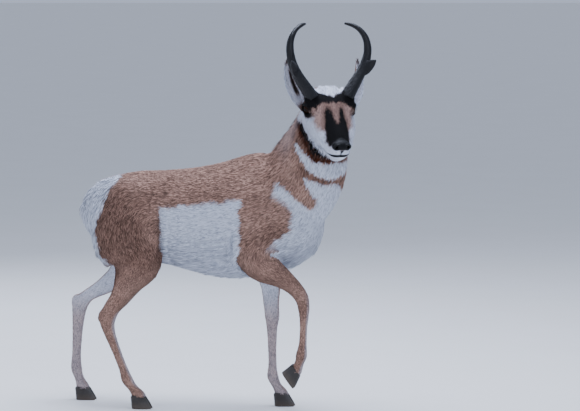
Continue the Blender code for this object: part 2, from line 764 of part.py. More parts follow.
def mane_locks(neck):
    """Two staggered rows of low locks along the nape, pointing down the neck."""
    surface = BVHTree.FromBMesh(from_mesh(neck))
    draw = random.Random(MANE_SEED)
    rings = neck_rings()
    locks = []
    for i in range(2 * MANE_ROWS):
        ring = rings[len(rings) - 4 - int(i * (len(rings) - 9) / (2 * MANE_ROWS))]
        offset = ring.side * ((0.007 if i % 2 else -0.007) + draw.uniform(-0.003, 0.003))
        point, normal, _, _ = surface.ray_cast(ring.centre + ring.up * 0.3 + offset, -ring.up)
        if point is None or (point - ring.centre).dot(ring.up) < 0.02:
            continue
        flow = ring.side.cross(ring.up)
        flow = flow if flow.z < 0 else -flow
        flow = (flow - normal * flow.dot(normal)).normalized()
        along = (flow + normal * draw.uniform(0.34, 0.46)).normalized()
        away = (normal - along * normal.dot(along)).normalized()
        size = [s * draw.uniform(0.9, 1.1) for s in MANE_LOCK]
        locks.append(make_lock(point - normal * 0.007, along, away, size, draw.uniform(-0.10, 0.0)))
    return locks


def with_locks(mesh, locks, neighbours):
    """The node's mesh and its locks fused in one union, the locks first cut clear of the neighbours."""
    bundle = to_mesh(locks[0])
    for shape in locks[1:]:
        bundle = boolean(bundle, "UNION", to_mesh(shape), "MANIFOLD")
    for neighbour in neighbours:
        shape = grown(from_mesh(neighbour), 1.5 * CUT)
        bundle = boolean(bundle, "DIFFERENCE", to_mesh(shape), "MANIFOLD")
    return largest_piece(boolean(mesh, "UNION", bundle, "MANIFOLD"))


# Cuts between the nodes of flesh

NECK_CUT = ((0.350, 0.0, 0.800), (0.740, 0.0, 0.670))
RUMP_OUTLINE = [(-0.236, 0.900), (-0.264, 0.813), (-0.322, 0.704), (-0.343, 0.640), (-0.350, 0.505),
                (-0.600, 0.505), (-0.600, 0.900)]
FORE_OUTLINE = [(0.003, -0.050), (0.003, 0.4226), (0.200, 0.660), (0.300, 0.660), (0.300, -0.050)]
HIND_OUTLINE = [(0.003, -0.050), (0.003, 0.4720), (0.150, 0.7200), (0.300, 0.720), (0.300, -0.050)]
FORE_REACH = (0.125, 0.600)
HIND_REACH = (-0.700, -0.115)


def mirrored(outline, side):
    return [(side * a, b) for a, b in outline]


def head_cut():
    return moved(prism(HEAD_OUTLINE, "Y", -0.2, 0.2), head_frame())


def ease_weight(point):
    """Full easing on the trunk and neck, little on the lower legs and where the neck enters the head."""
    down = min(max((point.z - 0.36) / 0.20, 0.0), 1.0)
    return 0.05 + 0.95 * down


def make_flesh():
    """Torso, rump, neck, head and legs, from two fused skins parted along the cuts."""
    frame = head_frame()
    head_core = [moved(shape, frame) for shape in [loft(head_rings(), 28)] + head_masses()]
    shapes = [loft(trunk_rings(), 32), loft(neck_rings(), 28)]
    shapes += [loft(leg_rings(side, rows), 20) for side, rows in LEGS.values()]
    shapes += muscles() + [moved(loft(head_rings(), 28), frame)]
    body = fused(shapes, BODY_VOXEL, BODY_EASING, BODY_SHARE, ease_weight)
    head = fused(head_core + [loft(neck_rings(), 28)], HEAD_VOXEL, HEAD_EASING, HEAD_SHARE)

    nodes = {}
    nodes["head"] = parted(head, head_cut())[0]
    body = parted(body, head_cut())[1]
    nodes["neck"], body = parted(body, beyond(*NECK_CUT))
    nodes["rump"], body = parted(body, prism(RUMP_OUTLINE, "Y", -0.4, 0.4))
    for name, (side, rows) in LEGS.items():
        outline, reach = (FORE_OUTLINE, FORE_REACH) if "front" in name else (HIND_OUTLINE, HIND_REACH)
        nodes[name], body = parted(body, prism(mirrored(outline, side), "X", *reach))
    nodes["torso"] = body
    return nodes


def make_face(nodes):
    """Opens the lids, nostrils and mouth line in the head, and sets the eyes."""
    frame = head_frame()
    head = nodes["head"]
    for side in (RIGHT, LEFT):
        centre = Vector((0, side * EYE_SIDE, 0))
        eye = ellipsoid(centre, (EYE_RADIUS,) * 3, eye_axis(side).to_track_quat("Z", "Y").to_matrix(), 16)
        nodes["eye_" + SIDE_NAMES[side]] = largest_piece(to_mesh(moved(eye, frame)))
        head = boolean(head, "DIFFERENCE", to_mesh(moved(lid_cutter(side), frame)))
        head = boolean(head, "DIFFERENCE", to_mesh(moved(nostril_cutter(side), frame)))
    head = largest_piece(boolean(head, "DIFFERENCE", to_mesh(moved(mouth_cutter(head), frame))))
    for side in (RIGHT, LEFT):
        head = cleared(head, nodes["eye_" + SIDE_NAMES[side]])
    nodes["head"] = head


def make_head_gear(nodes):
    """Horns, then ears clear of the horns, all clear of the head."""
    for side in (RIGHT, LEFT):
        name = SIDE_NAMES[side]
        nodes["horn_" + name] = cleared(make_horn(side), nodes["head"])
        ear = cleared(make_ear(side), nodes["head"])
        nodes["ear_" + name] = cleared(ear, nodes["horn_" + name])


def make_feet(nodes):
    """Trims each leg at the hair line and sets two claws below it."""
    for name, frame in foot_frames().items():
        below = beyond(frame @ Vector((0, 0, HOOF_HEIGHT)), frame.to_3x3() @ Vector((0, 0, -1)), 0.2)
        leg = boolean(nodes[name], "DIFFERENCE", to_mesh(below))
        nodes[name] = largest_piece(leg)
        for side in (RIGHT, LEFT):
            claw = name.replace("leg", "hoof") + "_claw_" + ("outer" if side == LEGS[name][0] else "inner")
            nodes[claw] = make_claw(frame, side)


def add_locks(nodes):
    """Fuses the locks to rump and neck, clear of whatever they hang over."""
    below = [nodes[name] for name in ("tail", "torso", "leg_hind_right", "leg_hind_left")]
    nodes["rump"] = with_locks(nodes["rump"], rump_locks(nodes["rump"]), below)
    below = [nodes[name] for name in ("torso", "head", "ear_right", "ear_left")]
    nodes["neck"] = with_locks(nodes["neck"], mane_locks(nodes["neck"]), below)


def linear(hex_colour):
    """The linear values of an sRGB hex colour."""
    parts = [int(hex_colour[i:i + 2], 16) / 255 for i in (1, 3, 5)]
    return [c / 12.92 if c <= 0.04045 else ((c + 0.055) / 1.055) ** 2.4 for c in parts] + [1.0]


def finish_of(name):
    kinds = {"eye": EYE, "horn": HORN, "hoof": HOOF, "ear": EAR_COAT, "rump": WHITE_COAT, "tail": WHITE_COAT,
             "head": FACE_COAT, "leg": BROWN_COAT}
    return kinds.get(name.split("_")[0], TAN_COAT)


def painted(name, mesh):
    """Gives a node's mesh a material of its own."""
    colour, roughness = finish_of(name)
    material = bpy.data.materials.new(name + "_surface")
    material.use_nodes = True
    surface = material.node_tree.nodes["Principled BSDF"]
    surface.inputs["Base Color"].default_value = linear(colour)
    surface.inputs["Roughness"].default_value = roughness
    surface.inputs["Metallic"].default_value = 0.0
    mesh.materials.clear()
    mesh.materials.append(material)


def centre_on_floor(meshes):
    """Moves all meshes together so that the origin is the middle of their box, at its bottom."""
    points = np.array([v.co for mesh in meshes for v in mesh.vertices])
    low = points.min(axis=0)
    high = points.max(axis=0)
    shift = Matrix.Translation(Vector((-(low[0] + high[0]) / 2, -(low[1] + high[1]) / 2, -low[2])))
    for mesh in meshes:
        mesh.transform(shift)
    return shift


def main():
    for obj in list(bpy.data.objects):
        bpy.data.objects.remove(obj)
    nodes = make_flesh()
    make_face(nodes)
    make_head_gear(nodes)
    make_feet(nodes)
    nodes["tail"] = cleared(make_tail(), nodes["rump"])
    nodes["tail"] = cleared(nodes["tail"], nodes["torso"])
    add_locks(nodes)
    placed = centre_on_floor(list(nodes.values()))
    home = bpy.data.collections.new("pronghorn")
    bpy.context.scene.collection.children.link(home)
    for name, mesh in nodes.items():
        painted(name, mesh)
        mesh.name = name
        new_object(name, mesh, home)
    return placed


PLACED = main().to_translation()
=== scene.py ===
"""Looks of the pronghorn buck: hide, coat, eyes, ears, horns and hooves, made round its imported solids.

Shapes repeat the named sizes of the solids in the frame that those were first drawn in: the animal faces +X
and its right side faces -Y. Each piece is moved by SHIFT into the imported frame. Sizes are in metres.
"""

import math
from collections import namedtuple

import bmesh
import bpy
import numpy as np
from mathutils import Matrix, Vector
from mathutils.bvhtree import BVHTree


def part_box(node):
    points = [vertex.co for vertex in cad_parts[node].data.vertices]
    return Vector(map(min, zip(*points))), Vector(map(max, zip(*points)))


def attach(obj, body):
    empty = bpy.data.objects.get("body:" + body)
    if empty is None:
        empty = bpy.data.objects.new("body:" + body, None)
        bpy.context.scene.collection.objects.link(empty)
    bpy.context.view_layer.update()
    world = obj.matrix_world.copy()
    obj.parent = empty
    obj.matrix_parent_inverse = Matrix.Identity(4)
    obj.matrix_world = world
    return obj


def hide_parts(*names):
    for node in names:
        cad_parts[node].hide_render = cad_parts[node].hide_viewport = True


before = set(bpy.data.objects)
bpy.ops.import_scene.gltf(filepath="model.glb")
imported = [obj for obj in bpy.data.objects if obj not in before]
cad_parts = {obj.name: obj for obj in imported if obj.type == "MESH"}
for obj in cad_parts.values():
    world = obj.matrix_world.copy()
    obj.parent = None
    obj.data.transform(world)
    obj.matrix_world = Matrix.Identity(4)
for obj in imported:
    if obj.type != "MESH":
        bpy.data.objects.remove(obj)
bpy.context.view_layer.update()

RIGHT, LEFT = -1, 1
SIDE_NAMES = {RIGHT: "right", LEFT: "left"}

# The head looks this far round from straight ahead to the animal's right, and its face slopes down this far
HEAD_TURN = math.radians(62.0)
FACE_SLOPE = math.radians(45.0)
# Point midway between the eyes, how far each eyeball's centre stands from it, and how far out and up it looks
EYES_MIDDLE = Vector((0.4735, -0.130, 1.054))
EYE_SIDE = 0.070
EYE_RADIUS = 0.0225
EYE_LOOK = math.radians(34.0)
EYE_LIFT = 0.10
# Half width and half height of the opening between the lids, and how far it slants
LID_OPENING = (0.0200, 0.0140)
LID_SLANT = math.radians(-12)
# The line of the mouth: how far it runs round the muzzle to each side in degrees, the muzzle's middle, the
# line's level in front, and how far it drops
MOUTH_SPREAD = 84
MOUTH_STEPS = 24
MUZZLE_MIDDLE = 0.118
MOUTH_LEVEL = -0.030
MOUTH_DROP = 0.024
# How far each nostril leans outward, in degrees
NOSTRIL_LEAN = 28

EAR_WIDTH = {RIGHT: 0.068, LEFT: 0.078}
EAR_THICKNESS = 0.0030

HOOF_HEIGHT = 0.0450
CLAW_LENGTH = 0.067
CLAW_WIDTH = 0.0230
CLEFT = 0.0020

UPRIGHT = Matrix.Identity(3)
FORWARD = Vector((1, 0, 0))
LEFTWARD = Vector((0, 1, 0))
UPWARD = Vector((0, 0, 1))

Ring = namedtuple("Ring", "centre side up half_width rise drop rise_pinch drop_pinch")


# Small tools for shapes

def smooth_rows(rows, between):
    """Rows of sizes with more rows read from a Catmull-Rom curve through them."""
    table = np.array(rows, float)
    before = np.vstack([2 * table[0] - table[1], table, 2 * table[-1] - table[-2]])
    found = []
    for i in range(len(table) - 1):
        a, b, c, d = before[i:i + 4]
        for t in np.arange(between) / between:
            found.append(0.5 * (2 * b + (c - a) * t + (2 * a - 5 * b + 4 * c - d) * t ** 2
                                + (3 * b - a - 3 * c + d) * t ** 3))
    found.append(table[-1])
    return np.array(found)


def ring_points(ring, around):
    """Points round one cross section, narrowed towards its top and bottom by the two pinches."""
    points = []
    for k in range(around):
        angle = math.tau * k / around
        across, above = math.cos(angle), math.sin(angle)
        pinch = ring.rise_pinch if above > 0 else ring.drop_pinch
        reach = ring.rise if above > 0 else ring.drop
        width = ring.half_width * across * (1 - pinch * above * above)
        points.append(ring.centre + ring.side * width + ring.up * (reach * above))
    return points


def steps_along(rows):
    """Each row of an array with the step from the row before it to the row after it."""
    for i, row in enumerate(rows):
        yield row, rows[min(i + 1, len(rows) - 1)] - rows[max(i - 1, 0)]


def loft_points(loops, tips=None):
    """A closed mesh through loops of points, drawn to tip points or to the middles of its end loops."""
    shape = bmesh.new()
    around = len(loops[0])
    tips = tips or [sum(loop, Vector()) / around for loop in (loops[0], loops[-1])]
    rows = [[shape.verts.new(p) for p in loop] for loop in loops]
    for low, high in zip(rows, rows[1:]):
        for k in range(around):
            n = (k + 1) % around
            shape.faces.new((low[k], low[n], high[n], high[k]))
    for row, tip in zip((rows[0], rows[-1]), tips):
        end = shape.verts.new(tip)
        for k in range(around):
            shape.faces.new((row[k], row[(k + 1) % around], end))
    bmesh.ops.recalc_face_normals(shape, faces=shape.faces)
    return shape


def loft(rings, around):
    return loft_points([ring_points(ring, around) for ring in rings], (rings[0].centre, rings[-1].centre))


def to_mesh(shape, name="piece"):
    mesh = bpy.data.meshes.new(name)
    shape.to_mesh(mesh)
    shape.free()
    return mesh


def from_mesh(mesh):
    shape = bmesh.new()
    shape.from_mesh(mesh)
    return shape


def moved(shape, matrix):
    bmesh.ops.transform(shape, matrix=matrix, verts=shape.verts)
    return shape


def ellipsoid(centre, radii, turn=UPRIGHT, segments=24):
    shape = bmesh.new()
    bmesh.ops.create_uvsphere(shape, u_segments=segments, v_segments=segments // 2, radius=1.0)
    return moved(shape, Matrix.Translation(Vector(centre)) @ turn.to_4x4() @ Matrix.Diagonal((*radii, 1.0)))


def slab(outline, half_width):
    """A flat outline of places ahead and up, made thick to both sides."""
    shape = bmesh.new()
    face = shape.faces.new([shape.verts.new((a, -half_width, b)) for a, b in outline])
    pushed = bmesh.ops.extrude_face_region(shape, geom=[face], use_keep_orig=True)["geom"]
    across = LEFTWARD * (2 * half_width)
    bmesh.ops.translate(shape, vec=across, verts=[v for v in pushed if isinstance(v, bmesh.types.BMVert)])
    bmesh.ops.recalc_face_normals(shape, faces=shape.faces)
    return shape


def grown(shape, amount):
    """The shape with every face moved outward by the amount."""
    shape.normal_update()
    moves = [v.normal * (amount * v.calc_shell_factor()) for v in shape.verts]
    for vert, move in zip(shape.verts, moves):
        vert.co += move
    return shape


def tilt(degrees, axis="Y"):
    return Matrix.Rotation(math.radians(degrees), 3, axis)


def joined(shapes):
    """One mesh that holds all the closed shapes, still overlapping."""
    whole = bmesh.new()
    for shape in shapes:
        part = to_mesh(shape)
        whole.from_mesh(part)
        bpy.data.meshes.remove(part)
    return to_mesh(whole)


def new_object(name, data):
    made = bpy.data.objects.new(name, data)
    bpy.context.scene.collection.objects.link(made)
    return made


def baked(obj):
    """The object's evaluated mesh, with the object gone."""
    bpy.context.view_layer.update()
    graph = bpy.context.evaluated_depsgraph_get()
    mesh = bpy.data.meshes.new_from_object(obj.evaluated_get(graph))
    bpy.data.objects.remove(obj)
    return mesh


def boolean(mesh, operation, cutter):
    """The mesh joined with, cut by or kept inside another closed mesh."""
    body = new_object("boolean_body", mesh)
    tool = new_object("boolean_tool", cutter)
    step = body.modifiers.new("boolean", "BOOLEAN")
    step.operation = operation
    step.solver = "MANIFOLD"
    step.object = tool
    made = baked(body)
    bpy.data.objects.remove(tool)
    return made


def largest_piece(mesh):
    """Keeps only the closed surface with the most points, as triangles."""
    shape = from_mesh(mesh)
    bmesh.ops.remove_doubles(shape, verts=shape.verts, dist=1e-6)
    unseen = set(shape.verts)
    best = set()
    while unseen:
        island = set()
        front = [next(iter(unseen))]
        while front:
            vert = front.pop()
            if vert in island:
                continue
            island.add(vert)
            front.extend(edge.other_vert(vert) for edge in vert.link_edges)
        unseen -= island
        if len(island) > len(best):
            best = island
    bmesh.ops.delete(shape, geom=[v for v in shape.verts if v not in best], context="VERTS")
    bmesh.ops.triangulate(shape, faces=shape.faces)
    return to_mesh(shape)


# Trunk

# Each row gives the place along the body, back line, belly line, half width, height of the widest level, and
# how far the section narrows at its top and its bottom

TRUNK = [
    (-0.398, 0.725, 0.630, 0.036, 0.68, 0.10, 0.10),
    (-0.368, 0.774, 0.575, 0.078, 0.67, 0.15, 0.10),
    (-0.300, 0.802, 0.530, 0.108, 0.67, 0.25, 0.10),
    (-0.210, 0.819, 0.505, 0.119, 0.67, 0.30, 0.15),
    (-0.120, 0.823, 0.500, 0.117, 0.66, 0.25, 0.20),
    (-0.035, 0.831, 0.480, 0.125, 0.64, 0.20, 0.20),
    (0.060, 0.848, 0.460, 0.134, 0.63, 0.25, 0.20),
    (0.140, 0.874, 0.456, 0.130, 0.63, 0.40, 0.25),
    (0.210, 0.890, 0.466, 0.121, 0.63, 0.50, 0.30),
    (0.280, 0.872, 0.482, 0.112, 0.63, 0.45, 0.35),
    (0.350, 0.815, 0.508, 0.099, 0.62, 0.30, 0.35),
    (0.402, 0.745, 0.556, 0.076, 0.63, 0.20, 0.30),
    (0.430, 0.690, 0.605, 0.036, 0.64, 0.10, 0.10),
]


def section_rings(rows):
    """Upright cross sections in rows like the trunk's."""
    rings = []
    for x, top, bottom, half_width, level, rise_pinch, drop_pinch in smooth_rows(rows, 4):
        rings.append(Ring(Vector((x, 0, level)), LEFTWARD, UPWARD, half_width, top - level, level - bottom,
                          rise_pinch, drop_pinch))
    return rings


# Neck

# Each row gives the axis point, how far the nape and the throat stand from it, the half width, and the share
# of the head's turn that the section has taken up

NECK = [
    (0.255, 0.000, 0.665, 0.100, 0.120, 0.100, 0.00),
    (0.310, 0.000, 0.750, 0.125, 0.158, 0.106, 0.04),
    (0.362, -0.012, 0.845, 0.112, 0.160, 0.092, 0.15),
    (0.402, -0.030, 0.930, 0.098, 0.140, 0.080, 0.35),
    (0.426, -0.048, 1.010, 0.080, 0.100, 0.071, 0.60),
    (0.438, -0.062, 1.066, 0.052, 0.062, 0.056, 0.80),
]


def neck_rings():
    rings = []
    for (x, y, z, nape, throat, half_width, turned), step in steps_along(smooth_rows(NECK, 5)):
        along = Vector(step[:3]).normalized()
        turn = HEAD_TURN * turned
        ahead = Vector((math.cos(turn), -math.sin(turn), 0))
        side = along.cross(ahead).normalized()
        up = along.cross(side).normalized()
        if up.dot(ahead) > 0:
            up.negate()
        rings.append(Ring(Vector((x, y, z)), side, up, half_width, nape, throat, 0.15, 0.05))
    return rings


# Legs

# Each row gives the axis point of one side's leg as forward, outward and up, then the half depth fore and aft
# and the half width. The last rows run on into the hoof, where the leg is cut off.

HIND_TRAIL = [
    (-0.262, 0.055, 0.730, 0.085, 0.050),
    (-0.266, 0.074, 0.650, 0.110, 0.058),
    (-0.262, 0.086, 0.570, 0.106, 0.055),
    (-0.262, 0.094, 0.505, 0.080, 0.045),
    (-0.310, 0.098, 0.443, 0.048, 0.034),
    (-0.372, 0.100, 0.400, 0.031, 0.024),
    (-0.420, 0.100, 0.372, 0.024, 0.019),
    (-0.451, 0.100, 0.340, 0.029, 0.022),
    (-0.459, 0.100, 0.295, 0.0235, 0.018),
    (-0.463, 0.098, 0.235, 0.0190, 0.0145),
    (-0.466, 0.095, 0.160, 0.0170, 0.0145),
    (-0.466, 0.092, 0.112, 0.0205, 0.0190),
    (-0.456, 0.091, 0.078, 0.0165, 0.0190),
    (-0.443, 0.090, 0.046, 0.0230, 0.0235),
    (-0.438, 0.090, 0.034, 0.0235, 0.0235),
]
HIND_STEP = [
    (-0.255, 0.055, 0.730, 0.085, 0.050),
    (-0.252, 0.076, 0.650, 0.116, 0.060),
    (-0.240, 0.090, 0.575, 0.116, 0.057),
    (-0.206, 0.098, 0.510, 0.096, 0.047),
    (-0.235, 0.100, 0.440, 0.055, 0.035),
    (-0.262, 0.100, 0.390, 0.038, 0.026),
    (-0.292, 0.100, 0.350, 0.030, 0.021),
    (-0.309, 0.100, 0.312, 0.030, 0.023),
    (-0.303, 0.100, 0.268, 0.0215, 0.0185),
    (-0.280, 0.098, 0.205, 0.0165, 0.0150),
    (-0.255, 0.096, 0.140, 0.0160, 0.0150),
    (-0.242, 0.094, 0.102, 0.0205, 0.0195),
    (-0.222, 0.092, 0.072, 0.0165, 0.0190),
    (-0.202, 0.092, 0.046, 0.0230, 0.0235),
    (-0.196, 0.092, 0.034, 0.0235, 0.0235),
]
FORE_STAND = [
    (0.245, 0.062, 0.640, 0.080, 0.050),
    (0.215, 0.074, 0.560, 0.072, 0.046),
    (0.220, 0.078, 0.485, 0.050, 0.036),
    (0.233, 0.077, 0.420, 0.0370, 0.0280),
    (0.236, 0.074, 0.355, 0.0285, 0.0230),
    (0.240, 0.070, 0.312, 0.0265, 0.0245),
    (0.240, 0.067, 0.272, 0.0200, 0.0190),
    (0.241, 0.063, 0.205, 0.0160, 0.0145),
    (0.243, 0.059, 0.140, 0.0160, 0.0150),
    (0.244, 0.057, 0.104, 0.0205, 0.0195),
    (0.258, 0.056, 0.072, 0.0165, 0.0190),
    (0.274, 0.056, 0.046, 0.0225, 0.0235),
    (0.279, 0.056, 0.034, 0.0235, 0.0235),
]
FORE_LIFT = [
    (0.262, 0.064, 0.640, 0.085, 0.050),
    (0.212, 0.080, 0.560, 0.078, 0.048),
    (0.228, 0.087, 0.507, 0.060, 0.041),
    (0.290, 0.090, 0.473, 0.044, 0.032),
    (0.338, 0.090, 0.438, 0.0315, 0.0250),
    (0.369, 0.090, 0.402, 0.0265, 0.0245),
    (0.379, 0.090, 0.362, 0.0215, 0.0200),
    (0.3785, 0.090, 0.300, 0.0145, 0.0140),
    (0.375, 0.090, 0.236, 0.0150, 0.0145),
    (0.371, 0.090, 0.199, 0.0205, 0.0190),
    (0.363, 0.090, 0.170, 0.0165, 0.0180),
    (0.353, 0.090, 0.147, 0.0215, 0.0230),
    (0.344, 0.090, 0.137, 0.0215, 0.0230),
]
LEGS = {
    "leg_front_right": (RIGHT, FORE_LIFT),
    "leg_front_left": (LEFT, FORE_STAND),
    "leg_hind_right": (RIGHT, HIND_STEP),
    "leg_hind_left": (LEFT, HIND_TRAIL),
}
HOCK_ROW = 7
# How far the lifted shoulder and arm lead those of the standing side
LIFTED_LEAD = 0.02
# How far the lifted hoof's sole is turned from level, toe down
HOOF_DROOP = math.radians(56.0)
# How far each hoof's claws stand ahead of the hair line above them
CLAW_LEAD = 0.013


def leg_rings(side, rows):
    rings = []
    for (x, out, z, deep, wide), step in steps_along(smooth_rows(rows, 3)):
        along = Vector((step[0], side * step[1], step[2])).normalized()
        across = (LEFTWARD - along * along.y).normalized()
        fore = across.cross(along)
        rings.append(Ring(Vector((x, side * out, z)), across, fore, wide, deep, deep, 0.0, 0.0))
    return rings


def muscles():
    """Breast, shoulder, arm, haunch, hip and hock masses that lie just under the hide."""
    found = [ellipsoid((0.350, 0, 0.612), (0.078, 0.078, 0.088))]
    for side, lead in ((RIGHT, LIFTED_LEAD), (LEFT, 0.0)):
        found += [
            ellipsoid((0.205, side * 0.080, 0.725), (0.058, 0.028, 0.135), tilt(side * 17, "X") @ tilt(22)),
            ellipsoid((0.272 + lead, side * 0.076, 0.640), (0.080, 0.044, 0.080), tilt(20)),
            ellipsoid((0.190 + lead, side * 0.087, 0.590), (0.074, 0.041, 0.084), tilt(35)),
            ellipsoid((-0.225, side * 0.070, 0.680), (0.120, 0.050, 0.115)),
            ellipsoid((-0.150, side * 0.058, 0.768), (0.055, 0.024, 0.028)),
        ]
    for rows, side in ((HIND_STEP, RIGHT), (HIND_TRAIL, LEFT)):
        x, out, z = rows[HOCK_ROW][:3]
        found.append(ellipsoid((x - 0.020, side * out, z + 0.012), (0.013, 0.013, 0.024), tilt(20)))
    return found


# Head, in its own frame: ahead along the muzzle, left, and up from the face, from between the eyes

def head_frame():
    """The matrix that carries head coordinates into the animal's frame."""
    ahead = Vector((math.cos(HEAD_TURN), -math.sin(HEAD_TURN), 0))
    forward = ahead * math.cos(FACE_SLOPE) - UPWARD * math.sin(FACE_SLOPE)
    left = UPWARD.cross(ahead)
    turn = Matrix((forward, left, forward.cross(left))).transposed()
    return Matrix.Translation(EYES_MIDDLE) @ turn.to_4x4()


def level_frame():
    """Like the head's frame, but with its first axis level and its last straight up."""
    return Matrix.Translation(EYES_MIDDLE) @ Matrix.Rotation(-HEAD_TURN, 4, "Z")


# Like the trunk's rows: place ahead of the eyes, top, bottom, half width, level of the widest part, pinches
HEAD = [
    (-0.112, -0.022, -0.062, 0.036, -0.035, 0.1, 0.1),
    (-0.092, 0.005, -0.086, 0.058, -0.030, 0.2, 0.2),
    (-0.058, 0.036, -0.100, 0.075, -0.026, 0.2, 0.3),
    (-0.020, 0.050, -0.102, 0.082, -0.030, 0.2, 0.3),
    (0.012, 0.051, -0.100, 0.087, -0.036, 0.25, 0.3),
    (0.045, 0.046, -0.095, 0.085, -0.042, 0.45, 0.3),
    (0.080, 0.038, -0.089, 0.076, -0.044, 0.50, 0.25),
    (0.120, 0.030, -0.083, 0.060, -0.041, 0.45, 0.2),
    (0.150, 0.023, -0.079, 0.047, -0.036, 0.30, 0.1),
    (0.172, 0.015, -0.074, 0.041, -0.031, 0.15, 0.1),
    (0.187, 0.002, -0.064, 0.032, -0.026, 0.1, 0.1),
    (0.194, -0.008, -0.048, 0.016, -0.026, 0.0, 0.0),
]
# Outline of the region that is cut off as the head: ahead and up in its frame, behind the jaw and the poll
HEAD_OUTLINE = [(-0.078, -0.108), (0.250, -0.112), (0.250, 0.200), (-0.208, 0.200)]


def head_masses():
    """Nose pad, chin, orbits, horn pedicles, cheeks and upper lips, in head coordinates."""
    found = [
        ellipsoid((0.176, 0, -0.002), (0.021, 0.037, 0.023)),
        ellipsoid((0.163, 0, -0.062), (0.024, 0.027, 0.018)),
    ]
    for side in (RIGHT, LEFT):
        found += [
            ellipsoid((0.002, side * 0.060, 0.000), (0.042, 0.0370, 0.0340)),
            ellipsoid((-0.022, side * 0.062, 0.022), (0.036, 0.028, 0.028)),
            ellipsoid((0.015, side * 0.050, -0.055), (0.066, 0.035, 0.042)),
            ellipsoid((0.152, side * 0.025, -0.032), (0.034, 0.022, 0.022)),
        ]
    return found


def eye_centre(side):
    return Vector((0, side * EYE_SIDE, 0))


def eye_frame(side):
    """The way that one eye looks, and the ways forward and up across it."""
    look = Vector((math.sin(EYE_LOOK), side * math.cos(EYE_LOOK), EYE_LIFT)).normalized()
    fore = (FORWARD - look * look.x).normalized()
    return look, fore, fore.cross(look) * -side


def almond(side, share, base, count):
    """Points of the opening between the lids round a base, each with its height and the way over the eye."""
    _, fore, rise = eye_frame(side)
    across = fore * math.cos(LID_SLANT) + rise * math.sin(LID_SLANT)
    over = rise * math.cos(LID_SLANT) - fore * math.sin(LID_SLANT)
    wide, high = LID_OPENING
    for k in range(count):
        angle = math.tau * k / count
        above = high * share * math.sin(angle) * (1 - 0.25 * math.cos(angle) ** 2)
        yield base + across * (wide * share * math.cos(angle)) + over * above, math.sin(angle), over


def lid_cutter(side):
    """An almond bar that opens the lids over one eyeball."""
    loops = []
    for depth, flare in ((0.006, 0.95), (EYE_RADIUS, 1.0), (0.045, 1.25)):
        base = eye_centre(side) + eye_frame(side)[0] * depth
        loops.append([point for point, _, _ in almond(side, flare, base, 16)])
    return loft_points(loops)


def nostril_cutter(side):
    turn = tilt(side * NOSTRIL_LEAN, "X")
    return ellipsoid((0.186, side * 0.0205, 0.0090), (0.012, 0.0056, 0.0074), turn, 14)


def mouth_cutter(head):
    """A thin bent tube on the muzzle's own surface that cuts the line between the lips."""
    surface = BVHTree.FromBMesh(moved(from_mesh(head), head_frame().inverted()))
    loops = []
    for i in range(MOUTH_STEPS + 1):
        angle = math.radians(MOUTH_SPREAD * (2 * i / MOUTH_STEPS - 1))
        start = Vector((MUZZLE_MIDDLE, 0, MOUTH_LEVEL - MOUTH_DROP * (1 - math.cos(angle))))
        outward = Vector((math.cos(angle), math.sin(angle) * 0.8, 0)).normalized()
        lips = surface.ray_cast(start, outward)[0]
        loops.append([lips + outward * (0.0045 * math.cos(a)) + Vector((0, 0, 0.0011 * math.sin(a)))
                      for a in (0, math.pi / 2, math.pi, 1.5 * math.pi)])
    return loft_points(loops)


# Horns, in the level frame of the head

# Each row gives the path's place outward, ahead and up, the half depth fore and aft and the half width. The
# sheath's tip is blunter, and the prong's root slimmer inside the stem, than in the solids.

HORN_PATH = [
    (0.061, 0.004, 0.030, 0.0290, 0.0215),
    (0.078, -0.002, 0.059, 0.0290, 0.0210),
    (0.105, -0.006, 0.100, 0.0270, 0.0180),
    (0.126, -0.005, 0.139, 0.0235, 0.0160),
    (0.138, -0.003, 0.182, 0.0165, 0.0140),
    (0.1375, -0.007, 0.217, 0.0145, 0.0125),
    (0.129, -0.013, 0.2430, 0.0125, 0.0110),
    (0.113, -0.022, 0.2640, 0.0100, 0.0090),
    (0.0920, -0.033, 0.278, 0.0070, 0.0065),
    (0.067, -0.050, 0.2840, 0.0018, 0.0016),
]
BLUNT_TIP = [(0.0920, -0.033, 0.277, 0.0082, 0.0076), (0.070, -0.048, 0.2825, 0.0048, 0.0044)]
PRONG_PATH = [
    (0.118, 0.004, 0.117, 0.0160, 0.0085),
    (0.1285, 0.015, 0.1325, 0.0200, 0.0096),
    (0.143, 0.034, 0.149, 0.0140, 0.0070),
    (0.151, 0.049, 0.160, 0.0025, 0.0020),
]


def horn_loft(side, path, around, guide):
    """A tapering bar along a path: its half depth stands along the guide."""
    rings = []
    for (out, ahead, z, deep, wide), step in steps_along(smooth_rows(smooth_rows(path, 2), 2)):
        along = Vector((step[1], side * step[0], step[2])).normalized()
        fore = (guide - along * along.dot(guide)).normalized()
        across = along.cross(fore)
        rings.append(Ring(Vector((ahead, side * out, z)), across, fore, wide, deep, deep, 0.0, 0.0))
    return loft(rings, around)


# Ears, in the level frame of the head

# Places of root, middle and tip, and the way that the cup opens: outward, ahead and up

EAR_AXIS = {
    RIGHT: ((0.058, -0.050, -0.005), (0.104, -0.062, 0.075), (0.127, -0.078, 0.158)),
    LEFT: ((0.064, -0.052, -0.005), (0.139, -0.070, 0.066), (0.133, -0.088, 0.158)),
}
EAR_OPENS = {RIGHT: (0.62, 0.77, -0.10), LEFT: (0.80, 0.58, -0.10)}


def ear_opening(side):
    out, ahead, z = EAR_OPENS[side]
    return Vector((ahead, side * out, z))


